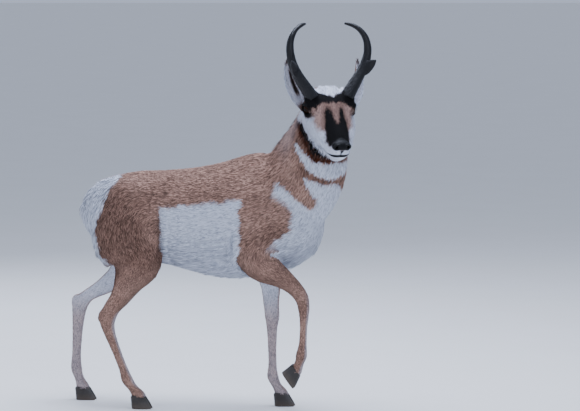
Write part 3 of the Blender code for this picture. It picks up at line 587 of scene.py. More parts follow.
def ear_axis(side, t):
    """Point and direction of the ear's axis, a parabola from root to tip through its middle."""
    root, middle, tip = [Vector((ahead, side * out, z)) for out, ahead, z in EAR_AXIS[side]]
    bend = middle * 2 - (root + tip) / 2
    point = root * (1 - t) ** 2 + bend * (2 * t * (1 - t)) + tip * t ** 2
    along = (bend - root) * (1 - t) + (tip - bend) * t
    return point, along.normalized()


# Feet

def foot_frames():
    """For each foot, the matrix of its sole: origin under the hair line, first axis towards the toe."""
    frames = {}
    for name, (side, rows) in LEGS.items():
        x, out, z = rows[-2][:3]
        place = Vector((x, side * out, 0))
        turn = Matrix.Identity(4)
        if rows is FORE_LIFT:
            turn = Matrix.Rotation(HOOF_DROOP, 4, "Y")
            place = Vector((x, side * out, z)) - turn.to_3x3() @ Vector((0, 0, HOOF_HEIGHT))
        frames[name] = Matrix.Translation(place) @ turn
    return frames


# Tail: a short flat brush that hangs against the rump

# Each row gives the place along and up, the half width and the half thickness

TAIL = [
    (-0.360, 0.758, 0.017, 0.014),
    (-0.386, 0.740, 0.021, 0.015),
    (-0.403, 0.705, 0.027, 0.015),
    (-0.407, 0.665, 0.029, 0.014),
    (-0.404, 0.630, 0.019, 0.010),
    (-0.400, 0.610, 0.006, 0.004),
]


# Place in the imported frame

def middle_of(node):
    low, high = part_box(node)
    return (Vector(low) + Vector(high)) / 2


SHIFT = (middle_of("eye_right") + middle_of("eye_left")) / 2 - EYES_MIDDLE


def shown(name, mesh, material, replaced=()):
    """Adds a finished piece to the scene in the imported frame, riding on the one body."""
    mesh.name = name
    mesh.transform(Matrix.Translation(SHIFT))
    mesh.materials.clear()
    mesh.materials.append(material)
    mesh.shade_smooth()
    obj = new_object(name, mesh)
    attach(obj, "root")
    if replaced:
        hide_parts(*replaced)


# Numbers for many points at once

def ramp(value, low, high):
    """0 below low, 1 above high and a smooth rise between."""
    t = np.clip((value - low) / (high - low), 0.0, 1.0)
    return t * t * (3 - 2 * t)


def ripple(points, size, seed):
    """A smooth wander between about -1 and 1 whose waves are roughly the given size across."""
    draw = np.random.default_rng(seed)
    total = np.zeros(len(points))
    for _ in range(6):
        way = draw.normal(size=3)
        way /= np.linalg.norm(way)
        total += np.sin(points @ way * (math.tau / size * draw.uniform(0.7, 1.4)) + draw.uniform(0, math.tau))
    return total / 3.0


def unit(vectors):
    return vectors / np.maximum(np.linalg.norm(vectors, axis=1, keepdims=True), 1e-9)


def depth_inside(across, along, outline):
    """Distance of each point of a plane to an outline, positive inside it."""
    corners = np.array(outline, float)
    ahead = np.roll(corners, -1, axis=0)
    nearest = np.full(len(across), np.inf)
    crossings = np.zeros(len(across), int)
    for (ax, ay), (bx, by) in zip(corners, ahead):
        dx, dy = bx - ax, by - ay
        t = np.clip(((across - ax) * dx + (along - ay) * dy) / (dx * dx + dy * dy), 0, 1)
        nearest = np.minimum(nearest, np.hypot(across - ax - t * dx, along - ay - t * dy))
        rises = (ay > along) != (by > along)
        meets = (bx - ax) * (along - ay) / (by - ay if by != ay else 1e-9) + ax
        crossings += rises & (across < meets)
    return np.where(crossings % 2 == 1, nearest, -nearest)


def curve_through(value, table):
    """Reads a two-column table at the values."""
    columns = np.array(table, float)
    return np.interp(value, columns[:, 0], columns[:, 1])


def points_of(mesh):
    found = np.empty(len(mesh.vertices) * 3)
    mesh.vertices.foreach_get("co", found)
    return found.reshape(-1, 3)


def normals_of(mesh):
    found = np.empty(len(mesh.vertices) * 3, dtype=np.float32)
    mesh.vertex_normals.foreach_get("vector", found)
    return found.reshape(-1, 3).astype(float)


def set_points(mesh, points):
    mesh.vertices.foreach_set("co", points.ravel())
    mesh.update()


def set_values(mesh, name, values):
    """Stores one number for each point of the mesh."""
    layer = mesh.attributes.new(name, "FLOAT", "POINT")
    layer.data.foreach_set("value", np.asarray(values, np.float32))


def set_vectors(mesh, name, vectors):
    """Stores one vector for each point of the mesh."""
    layer = mesh.attributes.new(name, "FLOAT_VECTOR", "POINT")
    layer.data.foreach_set("vector", np.asarray(vectors, np.float32).ravel())


def points_in(place, points):
    """Points in the coordinates of a frame."""
    matrix = np.array(place.inverted())
    return points @ matrix[:3, :3].T + matrix[:3, 3]


def in_head(points):
    """Points in head coordinates: ahead, left and up from the place between the eyes."""
    return points_in(head_frame(), points)


# Limbs: the axis of each with its rings, the lie of its hair, and the hair's sizes at each ring

# Hair sizes: length, width, rise of the tip for its length, and depth of the skin below the coat
BODY_HAIR = (0.0160, 0.0026, 0.20, 0.0008)
NECK_HAIR = (0.0160, 0.0025, 0.24, 0.0020)
NAPE_HAIR = (0.0125, 0.0022, 0.22, 0.0022)
POLL_HAIR = (0.0120, 0.0024, 0.18, 0.0028)
FACE_HAIR = (0.0080, 0.0012, 0.14, 0.0016)
LIP_HAIR = (0.0045, 0.0013, 0.12, 0.0008)
SHIN_HAIR = (0.0085, 0.0021, 0.08, 0.0013)
TAIL_HAIR = (0.0450, 0.0060, 0.25, 0.0050)
# The sizes that each limb passes from, through and to: legs as they rise, the others from end to end
LEG_HAIR = (SHIN_HAIR, SHIN_HAIR, BODY_HAIR)
HAIR_ALONG = {"trunk": (BODY_HAIR,) * 3, "neck": (BODY_HAIR, NECK_HAIR, NAPE_HAIR),
              "head": (POLL_HAIR, FACE_HAIR, LIP_HAIR), "tail": (TAIL_HAIR,) * 3}
LIMB_NAMES = ("trunk", "neck", "head", *LEGS, "tail")
TRUNK_INDEX, NECK_INDEX, HEAD_INDEX, TAIL_INDEX = (LIMB_NAMES.index(limb) for limb in HAIR_ALONG)


def tail_rings():
    rings = []
    for (x, z, wide, thick), step in steps_along(smooth_rows(TAIL, 2)):
        along = Vector((step[0], 0, step[1])).normalized()
        rings.append(Ring(Vector((x, 0, z)), LEFTWARD, LEFTWARD.cross(along), wide, thick, thick, 0.0, 0.0))
    return rings


def hair_of(limb, rings):
    """Hair sizes at each ring of a limb."""
    rows = []
    for i, ring in enumerate(rings):
        t = (ring.centre.z - 0.30) / 0.30 if limb in LEGS else i / (len(rings) - 1)
        rows.append(blend_rows(*HAIR_ALONG.get(limb, LEG_HAIR), t))
    return np.array(rows)


def blend_rows(first, middle, last, t):
    """Sizes that pass from the first to the middle row and on to the last as t goes from 0 to 1."""
    t = min(max(t, 0.0), 1.0)
    low, high, share = (first, middle, 2 * t) if t < 0.5 else (middle, last, 2 * t - 1)
    return [a + (b - a) * share for a, b in zip(low, high)]


def limb_table():
    """For each limb, its rings as arrays, the way its hair lies and its hair's sizes."""
    place = head_frame()
    turn = place.to_3x3()
    skull = [ring._replace(centre=place @ ring.centre, side=turn @ ring.side, up=turn @ ring.up)
             for ring in section_rings(HEAD)]
    rings_of = {"trunk": section_rings(TRUNK), "neck": neck_rings(), "head": skull, "tail": tail_rings()}
    rings_of.update({name: leg_rings(side, rows) for name, (side, rows) in LEGS.items()})
    table = {}
    for name in LIMB_NAMES:
        rings = rings_of[name]
        centres = np.array([ring.centre for ring in rings])
        along = unit(np.gradient(centres, axis=0))
        towards = -along if name in ("trunk", "neck", "head") else along
        if name == "trunk":
            towards = unit(towards + np.array([0.0, 0.0, -0.22]))
        table[name] = {
            "centres": centres, "flow": towards, "hair": hair_of(name, rings),
            "side": np.array([ring.side for ring in rings]), "up": np.array([ring.up for ring in rings]),
            "reach": np.array([(ring.half_width, ring.rise, ring.drop) for ring in rings])}
    return table


LIMBS = limb_table()


def place_on(limb, points):
    """Nearest place on a limb's axis, the angle round it, and how far out that is against its own surface."""
    table = LIMBS[limb]
    centres = table["centres"]
    nearest = np.full(len(points), np.inf)
    place = np.zeros(len(points))
    for i, (a, b) in enumerate(zip(centres, centres[1:])):
        step = b - a
        t = np.clip((points - a) @ step / (step @ step), 0, 1)
        away = ((points - a - t[:, None] * step) ** 2).sum(axis=1)
        closer = away < nearest
        nearest[closer] = away[closer]
        place[closer] = i + t[closer]
    offset = points - read_rows(centres, place)
    side = read_rows(table["side"], place)
    up = read_rows(table["up"], place)
    reach = read_rows(table["reach"], place)
    across = (offset * side).sum(axis=1)
    above = (offset * up).sum(axis=1)
    beyond_end = np.sqrt(np.maximum(nearest - across ** 2 - above ** 2, 0))
    tall = np.where(above > 0, reach[:, 1], reach[:, 2])
    share = np.sqrt((across / reach[:, 0]) ** 2 + (above / tall) ** 2 + (beyond_end / reach[:, 0]) ** 2)
    return place, np.degrees(np.arctan2(across, -above)), share


def read_rows(rows, place):
    """Rows read between whole numbers."""
    low = np.clip(place.astype(int), 0, len(rows) - 2)
    share = (place - low)[:, None]
    return rows[low] * (1 - share) + rows[low + 1] * share


Lie = namedtuple("Lie", "flow hair owner place angle")


def limbs_at(points):
    """For each point: hair direction, hair sizes, nearest limb, place along it and angle round it."""
    weights = []
    places = []
    for limb in LIMB_NAMES:
        place, angle, share = place_on(limb, points)
        weights.append(np.maximum(share, 0.05) ** -8.0)
        places.append((place, angle))
    weights = np.array(weights)
    weights /= weights.sum(axis=0)
    flow = np.zeros((len(points), 3))
    hair = np.zeros((len(points), 4))
    for weight, (place, _), limb in zip(weights, places, LIMB_NAMES):
        flow += read_rows(LIMBS[limb]["flow"], place) * weight[:, None]
        hair += read_rows(LIMBS[limb]["hair"], place) * weight[:, None]
    owner = weights.argmax(axis=0)
    every = np.arange(len(points))
    place = np.array([p for p, _ in places])[owner, every]
    angle = np.array([a for _, a in places])[owner, every]
    return Lie(flow, hair, owner, place, angle)


# Markings, as shares from 0 to 1

# Outlines are in head coordinates, or in places along the neck and degrees from the middle of the throat, or
# in distance ahead and height

BLAZE_HALF_WIDTH = [(0.010, 0.028), (0.020, 0.030), (0.050, 0.033), (0.080, 0.037), (0.110, 0.040),
                    (0.140, 0.041), (0.165, 0.038), (0.185, 0.033), (0.195, 0.020)]
BLAZE_LOW = [(0.000, -0.030), (0.140, -0.026), (0.160, -0.014), (0.176, -0.001), (0.188, 0.002),
             (0.200, 0.003)]
WEDGE_HALF_WIDTH = [(0.015, 0.000), (0.026, 0.016), (0.045, 0.014), (0.075, 0.008), (0.104, 0.000)]
CROWN_HALF_WIDTH = [(-0.090, 0.050), (-0.062, 0.060), (-0.044, 0.052), (-0.030, 0.036), (-0.020, 0.022),
                    (-0.012, 0.012), (-0.004, 0.004), (0.000, 0.000)]
CHEEK_LINE = [(-0.120, -0.010), (-0.060, -0.006), (0.000, 0.012), (0.018, 0.006), (0.036, 0.001),
              (0.055, -0.012), (0.080, -0.016), (0.100, -0.009), (0.115, 0.010), (0.140, 0.060)]
FRINGE_FRONT = [(0.000, 0.021), (0.012, 0.024), (0.025, 0.018), (0.045, 0.017), (0.060, 0.026),
                (0.075, 0.030), (0.110, 0.030)]
THROAT_TOP_LOW = [(0, 10.80), (15, 10.95), (28, 11.60), (45, 12.70), (71, 14.50)]
THROAT_TOP_HIGH = [(-71, 14.62), (-58, 14.55), (-33, 13.60), (-14, 13.00), (0, 13.05), (5, 13.25),
                   (31, 14.26), (71, 14.80)]
THROAT_LOW_HALF = [(6.0, 25.0), (6.6, 24.0), (7.2, 25.0), (7.6, 32.0), (8.6, 36.0), (9.3, 36.0), (9.75, 34.0),
                   (10.0, 30.0)]
THROAT_LOW_TOP = [(-36, 9.50), (-22, 9.55), (-10, 9.65), (0, 9.75), (10, 10.00), (22, 10.50), (36, 11.00)]
CHEST_TOP = [(0, 6.9), (20, 6.4), (23, 6.1), (33, 5.3), (48, 5.5), (65, 5.9), (88, 6.5), (105, 6.44),
             (125, 5.8)]
THROAT_TWIST = [(3.0, 0.0), (6.0, -6.0), (7.2, -9.0), (7.6, -12.0), (8.6, -22.0), (9.6, -32.0), (11.0, -42.0),
                (13.0, -45.0)]
JAW_BLACK_LOW = [(0, 14.20), (13, 14.25), (24, 15.38), (45, 16.85), (66, 18.50), (85, 19.60)]
CHEST_BACK = [(0.500, 0.215), (0.573, 0.2626), (0.6248, 0.3274), (0.6525, 0.3396), (0.680, 0.336),
              (0.7148, 0.3250), (0.749, 0.3110), (0.7875, 0.2920), (0.830, 0.268)]
RUMP_FRONT = [(0.480, -0.262), (0.528, -0.320), (0.549, -0.3335), (0.580, -0.342), (0.618, -0.3445),
              (0.661, -0.343), (0.677, -0.329), (0.704, -0.322), (0.739, -0.312), (0.760, -0.298),
              (0.787, -0.280), (0.813, -0.264), (0.850, -0.235)]
# Outline of what carries the head's markings, seen from its side: behind the jaw and below the chin
JAW_OUTLINE = [(-0.075, 0.200), (-0.070, 0.010), (-0.052, -0.040), (-0.034, -0.072), (-0.018, -0.090),
               (0.012, -0.100), (0.043, -0.110), (0.080, -0.128), (0.101, -0.135), (0.130, -0.140),
               (0.260, -0.140), (0.260, 0.200)]
FLANK_TOP = [(-0.1225, 0.694), (-0.0175, 0.708), (0.0875, 0.718), (0.1576, 0.727)]
FLANK_BACK, FLANK_FRONT = -0.1225, 0.1600
Marks = namedtuple("Marks", "white dark rufous brown")


def throat_centre(place):
    """The angle at which the middle of the throat lies: the head's turn has twisted the upper neck."""
    return curve_through(place, THROAT_TWIST)


def head_marks(points):
    """Blaze, crown, cheeks, eye surround and nose of the head."""
    at = in_head(points)
    ahead, across, up = at[:, 0], np.abs(at[:, 1]), at[:, 2]
    wander = 0.0022 * ripple(points, 0.020, 31)
    blaze_side = curve_through(ahead, BLAZE_HALF_WIDTH) - across
    top_side = ramp(up - curve_through(ahead, BLAZE_LOW), -0.008, 0.004)
    blaze = ramp(blaze_side + wander, -0.0045, 0.0035) * top_side
    blaze *= ramp(ahead, 0.020, 0.046)
    wedge = ramp(curve_through(ahead, WEDGE_HALF_WIDTH) - across + wander, -0.006, 0.004)
    wedge *= ramp(-ahead, -0.110, -0.090)
    horn_band = ramp(curve_through(across, FRINGE_FRONT) - ahead + wander * 2, -0.006, 0.006)
    horn_band *= ramp(up, 0.004, 0.018)
    crown = ramp(curve_through(ahead, CROWN_HALF_WIDTH) - across + wander, -0.003, 0.003)
    crown *= ramp(up, 0.000, 0.020)
    crown *= ramp(-ahead, -0.004, 0.004)
    poll = ramp(-ahead, 0.086, 0.106)
    cheek = ramp(curve_through(ahead, CHEEK_LINE) - up + 2 * wander, -0.016, 0.012)
    cheek = np.maximum(cheek, ramp(ahead, 0.106, 0.120))
    eye = np.hypot((ahead - 0.008) / 1.25, up + 0.003) + 2.0 * np.maximum(0.062 - across, 0)
    surround = ramp(-eye, -0.0290, -0.0205)
    dark = np.maximum.reduce([blaze * (1 - 0.88 * wedge), horn_band * (1 - poll), surround])
    dark *= 1 - crown
    white = np.maximum(crown * (1 - poll), cheek * (1 - dark))
    behind = ramp(-ahead, -0.004, 0.030) * (1 - crown) * ramp(up, -0.060, -0.030)
    warm = np.clip(1 - white - dark, 0, 1) * (1 - behind)
    rufous = 0.45 * ramp(blaze_side, -0.022, -0.002)
    white = np.maximum(white, 0.08 * warm * (1 - rufous))
    return Marks(white, dark, rufous * warm, 0.3 * behind * (1 - white))


def neck_marks(points, place, angle):
    """Two white throat patches, the black jaw patch and the rufous band below it."""
    signed = (angle - throat_centre(place) + 180) % 360 - 180
    turn = np.abs(signed)
    wander = 0.10 * ripple(points, 0.030, 32)
    top_low = curve_through(turn, THROAT_TOP_LOW)
    top_high = curve_through(signed, THROAT_TOP_HIGH)
    crescent = ramp(place + wander - top_low, -0.10, 0.10)
    crescent *= ramp(top_high - place + wander, -0.08, 0.08)
    crescent *= ramp(-turn, -72, -64)
    patch = ramp(curve_through(place, THROAT_LOW_HALF) - turn + 12 * wander, -2, 2) * ramp(place, 5.8, 6.2)
    patch *= ramp(curve_through(signed, THROAT_LOW_TOP) - place + wander, -0.08, 0.08)
    chest = ramp(curve_through(turn, CHEST_TOP) - place + wander, -0.12, 0.12) * ramp(-turn, -110, -102)
    black_low = curve_through(turn, JAW_BLACK_LOW)
    ragged = 0.40 * ripple(points, 0.011, 38)
    black = ramp(place + ragged - black_low, -0.15, 0.15) * ramp(-turn, -76, -68) * ramp(-place, -19.2, -18.8)
    behind_jaw = ramp(turn, 52, 60) * ramp(-turn, -98, -88) * ramp(place, 18.5, 19.1)
    behind_jaw *= ramp(-place, -23.0, -21.5)
    below_black = black_low + ragged - place
    rufous = 0.40 * ramp(below_black, -1.6, 0.2) + 0.60 * ramp(-below_black, -2.0, -0.7)
    rufous *= ramp(place - top_high, 0.0, 0.25) * ramp(-turn, -108, -84)
    rufous = np.maximum(rufous, 0.45 * ramp(place, 9.2, 9.8) * ramp(top_low - place, 0.0, 0.4)
                        * ramp(-turn, -60, -20))
    pale = 0.12 * ramp(place, 9.0, 14.0) * ramp(turn, 60, 90)
    white = np.maximum.reduce([crescent, patch, chest, 0.9 * behind_jaw, pale])
    brown = np.clip(0.10 + 0.20 * ripple(points, 0.10, 34) + 0.5 * rufous, 0, 1)
    return Marks(white, black * (1 - crescent), rufous * (1 - white) * (1 - black), brown * (1 - white))


def trunk_marks(points, normals):
    """Rump, flank, belly and chest white, with browner shoulders and haunches."""
    x, z = points[:, 0], points[:, 2]
    across = np.abs(points[:, 1])
    wander = 0.005 * ripple(points, 0.030, 33)
    rump = ramp(curve_through(z, RUMP_FRONT) - x + wander, -0.004, 0.006)
    stripe = ramp(-across, -0.012, -0.006) * ramp(z, 0.765, 0.785)
    rump *= 1 - 0.7 * stripe
    flank = ramp(x - FLANK_BACK + wander, -0.004, 0.004) * ramp(FLANK_FRONT - x + wander, -0.004, 0.004)
    flank *= ramp(curve_through(x, FLANK_TOP) - z + wander, -0.010, 0.008)
    below = ramp(0.560 - z + wander, -0.010, 0.010) * ramp(-across, -0.075, -0.060)
    below *= ramp(-normals[:, 2], -0.1, 0.4)
    chest = ramp(x - curve_through(z, CHEST_BACK) + 1.5 * wander, -0.010, 0.008)
    chest *= ramp(0.86 - z, 0.0, 0.02)
    white = np.maximum.reduce([rump, flank, below, chest])
    haunch = ramp(-x, 0.130, 0.200) * ramp(0.80 - z, 0.0, 0.18)
    side = 0.35 * ramp(0.83 - z, 0.0, 0.09) * ramp(-x, -0.16, -0.08)
    elbow = ramp(x, 0.10, 0.18) * ramp(0.67 - z, 0.0, 0.08) * 0.55
    brown = np.clip(haunch * 0.75 + side + elbow + 0.20 * ripple(points, 0.12, 34), 0, 1)
    return Marks(white, np.zeros(len(x)), np.zeros(len(x)), brown * (1 - white))


def leg_marks(points, normals):
    """Tan legs with pale inner sides, a paler front edge and a cinnamon edge behind the thigh."""
    z = points[:, 2]
    side = np.sign(points[:, 1])
    inner = -normals[:, 1] * side
    pale = ramp(inner, 0.25, 0.75) * ramp(-z, -0.62, -0.50) * (0.35 + 0.65 * ramp(z, 0.28, 0.42))
    front = 0.35 * ramp(normals[:, 0], 0.5, 0.9) * ramp(-z, -0.45, -0.30)
    hind = points[:, 0] < 0.0
    cinnamon = hind * ramp(-normals[:, 0], 0.45, 0.9) * ramp(z, 0.36, 0.44)
    high = ramp(z, 0.40, 0.55)
    brown = np.clip(0.25 + 0.75 * hind * high + 0.2 * ripple(points, 0.08, 35), 0, 1)
    white = np.maximum(pale * 0.9, front)
    return Marks(white, np.zeros(len(z)), 0.7 * cinnamon * (1 - white), brown * (1 - white))


def marks_at(points, normals, owner):
    """All markings at the points, each read by the rules of its own limb and eased over the joins."""
    trunk = trunk_marks(points, normals)
    neck_place, neck_angle, neck_share = place_on("neck", points)
    neck = neck_marks(points, neck_place, neck_angle)
    head = head_marks(points)
    leg = leg_marks(points, normals)
    on_head = ramp(head_side(points) + 0.002 * ripple(points, 0.02, 36), -0.003, 0.003)
    on_neck = ramp(neck_place, 3.5, 5.0) * ramp(1.6 - neck_share, 0.0, 0.2)
    on_neck = np.where(owner == NECK_INDEX, np.maximum(on_neck, ramp(neck_place, 3.0, 5.0)), on_neck)
    on_leg = ((owner > HEAD_INDEX) & (owner < TAIL_INDEX)) * ramp(0.600 - points[:, 2], 0.0, 0.06)
    on_leg *= 1 - trunk.white * ramp(-points[:, 0], 0.25, 0.29) * ramp(points[:, 2], 0.490, 0.515)
    on_tail = (owner == TAIL_INDEX) * 1.0
    found = []
    for on_trunk, on_limb, on_nape, on_face in zip(trunk, leg, neck, head):
        value = on_trunk * (1 - on_leg) + on_limb * on_leg
        value = value * (1 - on_neck) + on_nape * on_neck
        found.append(value * (1 - on_head) + on_face * on_head)
    white, dark, rufous, brown = found
    white = np.maximum(white, on_tail * ramp(np.abs(points[:, 1]), 0.004, 0.012))
    return Marks(white, dark, rufous, np.maximum(brown, on_tail * (1 - white) * 0.6))


def head_side(points):
    """How far inside the head's own region each point lies."""
    at = in_head(points)
    return depth_inside(at[:, 0], at[:, 2], JAW_OUTLINE)


# Hide: one skin over trunk, neck, legs, tail and head, sunk below the coat

HIDE_VOXEL = 0.0058
FACE_VOXEL = 0.0021
HIDE_EASING = 76
FACE_EASING = 36
JOIN_OVERLAP = 0.006
# The ring of the neck at which the finer mesh of the face begins
NECK_END = 12
# The nose pad seen from its side, ahead and up
PAD_OUTLINE = [(0.150, 0.040), (0.158, 0.016), (0.170, 0.004), (0.182, 0.001), (0.192, 0.002), (0.215, 0.002),
               (0.215, 0.040)]
# Creases pressed into both flanks: start and end as forward and up, half width and depth
CREASES = [
    ((0.138, 0.622), (0.131, 0.515), 0.0085, 0.0150),
    ((0.040, 0.576), (0.128, 0.603), 0.0080, 0.0070),
    ((0.020, 0.540), (0.100, 0.528), 0.0090, 0.0040),
    ((-0.120, 0.690), (-0.117, 0.510), 0.0110, 0.0100),
    ((0.284, 0.562), (0.352, 0.568), 0.0080, 0.0060),
    ((0.300, 0.760), (0.360, 0.660), 0.0200, 0.0050),
    ((0.235, 0.780), (0.180, 0.640), 0.0280, 0.0045),
    ((0.190, 0.720), (0.250, 0.610), 0.0200, 0.0040),
    ((-0.060, 0.790), (-0.170, 0.700), 0.0250, 0.0040),
    ((-0.250, 0.640), (-0.300, 0.520), 0.0160, 0.0040),
    ((-0.180, 0.640), (-0.220, 0.500), 0.0180, 0.0040),
]


def fused(shapes, voxel, easing, hold=None):
    """The shapes as one skin, fused on a voxel grid and eased where hold allows."""
    obj = new_object("fused", joined(shapes))
    step = obj.modifiers.new("fuse", "REMESH")
    step.mode = "VOXEL"
    step.voxel_size = voxel
    mesh = baked(obj)
    return largest_piece(eased(mesh, easing, hold(points_of(mesh)) if hold else None))


def eased(mesh, times, weights=None):
    """The mesh smoothed so many times, fully or by a weight for each point."""
    obj = new_object("eased", mesh)
    step = obj.modifiers.new("ease", "SMOOTH")
    step.factor = 0.5
    step.iterations = times
    if weights is not None:
        step.vertex_group = held(obj, weights)
    return baked(obj)


def held(obj, weights):
    """Stores weights, rounded to twentieths, as a vertex group."""
    group = obj.vertex_groups.new(name="hold")
    steps = np.round(weights * 20).astype(int)
    for level in range(1, 21):
        chosen = np.nonzero(steps == level)[0]
        if len(chosen):
            group.add(chosen.tolist(), level / 20, "REPLACE")
    return group.name


def ease_weight(points):
    """Full easing on the trunk and neck, little on the lower legs."""
    return 0.05 + 0.95 * np.clip((points[:, 2] - 0.36) / 0.20, 0, 1)


def face_details():
    """Lid rims, nostril wings, brows, and the swellings of the cheeks and upper lips, in head coordinates."""
    found = []
    for side in (RIGHT, LEFT):
        found += [
            lid_rim(side),
            nostril_wing(side),
            ellipsoid((-0.004, side * 0.074, 0.024), (0.030, 0.014, 0.0080), tilt(side * -28, "X"), 16),
            ellipsoid((0.100, side * 0.050, -0.030), (0.050, 0.010, 0.012), tilt(6), 16),
            ellipsoid((0.170, side * 0.014, -0.028), (0.020, 0.013, 0.009), UPRIGHT, 16),
        ]
    return found


def lid_loop(side, share, depth):
    """The almond between the lids, laid on a ball of the given radius round the eye's centre."""
    base = eye_frame(side)[0] * EYE_RADIUS
    return [(eye_centre(side) + way.normalized() * depth, height, over)
            for way, height, over in almond(side, share, base, 32)]


def tube(points, radius, around=8):
    """A closed ring of tube through the points."""
    shape = bmesh.new()
    count = len(points)
    rows = []
    for i, point in enumerate(points):
        along = (points[(i + 1) % count] - points[i - 1]).normalized()
        across = along.orthogonal().normalized()
        other = along.cross(across)
        rows.append([shape.verts.new(point + (across * math.cos(a) + other * math.sin(a)) * radius)
                     for a in (math.tau * k / around for k in range(around))])
    for i in range(count):
        low, high = rows[i - 1], rows[i]
        shift = min(range(around), key=lambda s: (high[s].co - low[0].co).length)
        for k in range(around):
            shape.faces.new((low[k], low[(k + 1) % around], high[(k + 1 + shift) % around],
                             high[(k + shift) % around]))
    bmesh.ops.recalc_face_normals(shape, faces=shape.faces)
    return shape


def lid_rim(side):
    return tube([point for point, _, _ in lid_loop(side, 1.13, EYE_RADIUS + 0.0018)], 0.0030)


def nostril_wing(side):
    """The raised fleshy rim round one nostril."""
    turn = tilt(side * NOSTRIL_LEAN, "X")
    centre = Vector((0.1865, side * 0.0205, 0.0090))
    ring = [centre + turn @ Vector((-0.001 * math.cos(a), 0.0085 * math.cos(a), 0.0105 * math.sin(a)))
            for a in (math.tau * k / 20 for k in range(20))]
    return tube(ring, 0.0034)


def face_mesh():
    """The head with its folds, its lids, nostrils and mouth opened."""
    place = head_frame()
    neck_end = loft(neck_rings()[NECK_END:], 40)
    core = [moved(shape, place) for shape in [loft(section_rings(HEAD), 48)] + head_masses()]
    face = fused(core + [neck_end], FACE_VOXEL, FACE_EASING)
    face = fused([from_mesh(face)] + [moved(shape, place) for shape in face_details()], FACE_VOXEL, 5)
    cuts = [mouth_cutter(face)]
    for side in (RIGHT, LEFT):
        ball = ellipsoid(eye_centre(side), (EYE_RADIUS + 0.0003,) * 3, UPRIGHT, 32)
        cuts += [lid_cutter(side), nostril_cutter(side), ball]
    cuts.append(ellipsoid((0.197, 0, -0.020), (0.009, 0.0022, 0.020), UPRIGHT, 16))
    for cut in cuts:
        face = boolean(face, "DIFFERENCE", to_mesh(moved(cut, place)))
    return face


def hide_mesh():
    """Body and face fused in one skin, sunk by the depth of the coat and creased."""
    place = head_frame()
    shapes = [loft(section_rings(TRUNK), 48), loft(neck_rings(), 40), loft(tail_rings(), 20)]
    shapes += [loft(leg_rings(side, rows), 28) for side, rows in LEGS.values()]
    shapes += muscles() + [moved(loft(section_rings(HEAD), 40), place)]
    body = fused(shapes, HIDE_VOXEL, HIDE_EASING, ease_weight)
    region = moved(slab(HEAD_OUTLINE, 0.2), place)
    face = boolean(face_mesh(), "INTERSECT", to_mesh(grown(region.copy(), JOIN_OVERLAP)))
    body = boolean(body, "DIFFERENCE", to_mesh(region))
    hide = eased_join(trimmed_at_hooves(largest_piece(boolean(body, "UNION", face))))
    points = points_of(hide)
    depth = limbs_at(points).hair[:, 3] * coat_cover(points)
    set_points(hide, points - normals_of(hide) * depth[:, None])
    return creased(hide)


def trimmed_at_hooves(mesh):
    """Cuts each leg off a little below the top of its hoof."""
    halves = (0.12, 0.06, 0.1)
    below = Matrix.Translation((0, 0, HOOF_HEIGHT - 0.002 - halves[2])) @ Matrix.Diagonal((*halves, 1.0))
    for place in foot_frames().values():
        cut = bmesh.new()
        bmesh.ops.create_cube(cut, size=2.0)
        mesh = boolean(mesh, "DIFFERENCE", to_mesh(moved(moved(cut, below), place)))
    return largest_piece(mesh)


def eased_join(mesh):
    """Smooths the skin near the line where face and body meet."""
    at = in_head(points_of(mesh))
    inside = depth_inside(at[:, 0], at[:, 2], HEAD_OUTLINE)
    near = ramp(-np.abs(inside + JOIN_OVERLAP / 2), -0.022, -0.008) * ramp(0.05 - at[:, 0], 0.0, 0.05)
    return eased(mesh, 30, near)


def coat_cover(points):
    """How much coat stands on the skin: none where it is bare."""
    return 1 - bare_share(points)


def bare_share(points):
    """Bare black skin: the nose pad, the groove below it, lips, lids and nostrils."""
    at = in_head(points)
    ahead, across, up = at[:, 0], np.abs(at[:, 1]), at[:, 2]
    pad = ramp(depth_inside(ahead, up, PAD_OUTLINE), -0.0015, 0.0025) * ramp(-across, -0.044, -0.038)
    groove_width = 0.0018 + 0.0055 * ramp(up, -0.022, 0.004)
    groove = ramp(ahead, 0.176, 0.182) * ramp(groove_width - across, -0.001, 0.001)
    groove *= ramp(up, -0.036, -0.030) * ramp(-up, -0.004, 0.004)
    round_muzzle = np.arctan2(across / 0.8, ahead - MUZZLE_MIDDLE)
    lip_width = 0.0016 + 0.0052 * ramp(np.cos(round_muzzle), 0.72, 0.97)
    lips = ramp(lip_width - np.abs(up - MOUTH_LEVEL + MOUTH_DROP * (1 - np.cos(round_muzzle))), -0.001, 0.001)
    lips *= ramp(ahead, 0.156, 0.172)
    lids = np.zeros(len(at))
    for side in (RIGHT, LEFT):
        away = at - np.array([0.0, side * EYE_SIDE, 0.0])
        facing = unit(away) @ np.array(eye_frame(side)[0])
        near = np.linalg.norm(away, axis=1)
        lid = ramp(facing, 0.60, 0.70) * ramp(-near, -EYE_RADIUS - 0.006, -EYE_RADIUS - 0.004)
        lids = np.maximum(lids, lid)
    nostril = ramp(-np.linalg.norm(np.stack([ahead - 0.184, across - 0.0205, up - 0.0090], axis=1), axis=1),
                   -0.0165, -0.0145)
    return np.maximum.reduce([pad, groove, lips, lids, nostril])


def fold_profiles(points, normals):
    """For each crease in turn, its depth at the points and the distance from it in half widths."""
    flat = points[:, [0, 2]]
    facing = ramp(np.abs(normals[:, 1]), 0.15, 0.45) * ramp(np.abs(points[:, 1]), 0.030, 0.050)
    for start, end, half_width, depth in CREASES:
        a, b = np.array(start), np.array(end)
        t = np.clip((flat - a) @ (b - a) / ((b - a) @ (b - a)), 0, 1)
        away = np.linalg.norm(flat - a - t[:, None] * (b - a), axis=1) / half_width
        yield depth * facing * np.sin(np.pi * np.clip(t, 0.08, 0.92)) ** 0.5, away


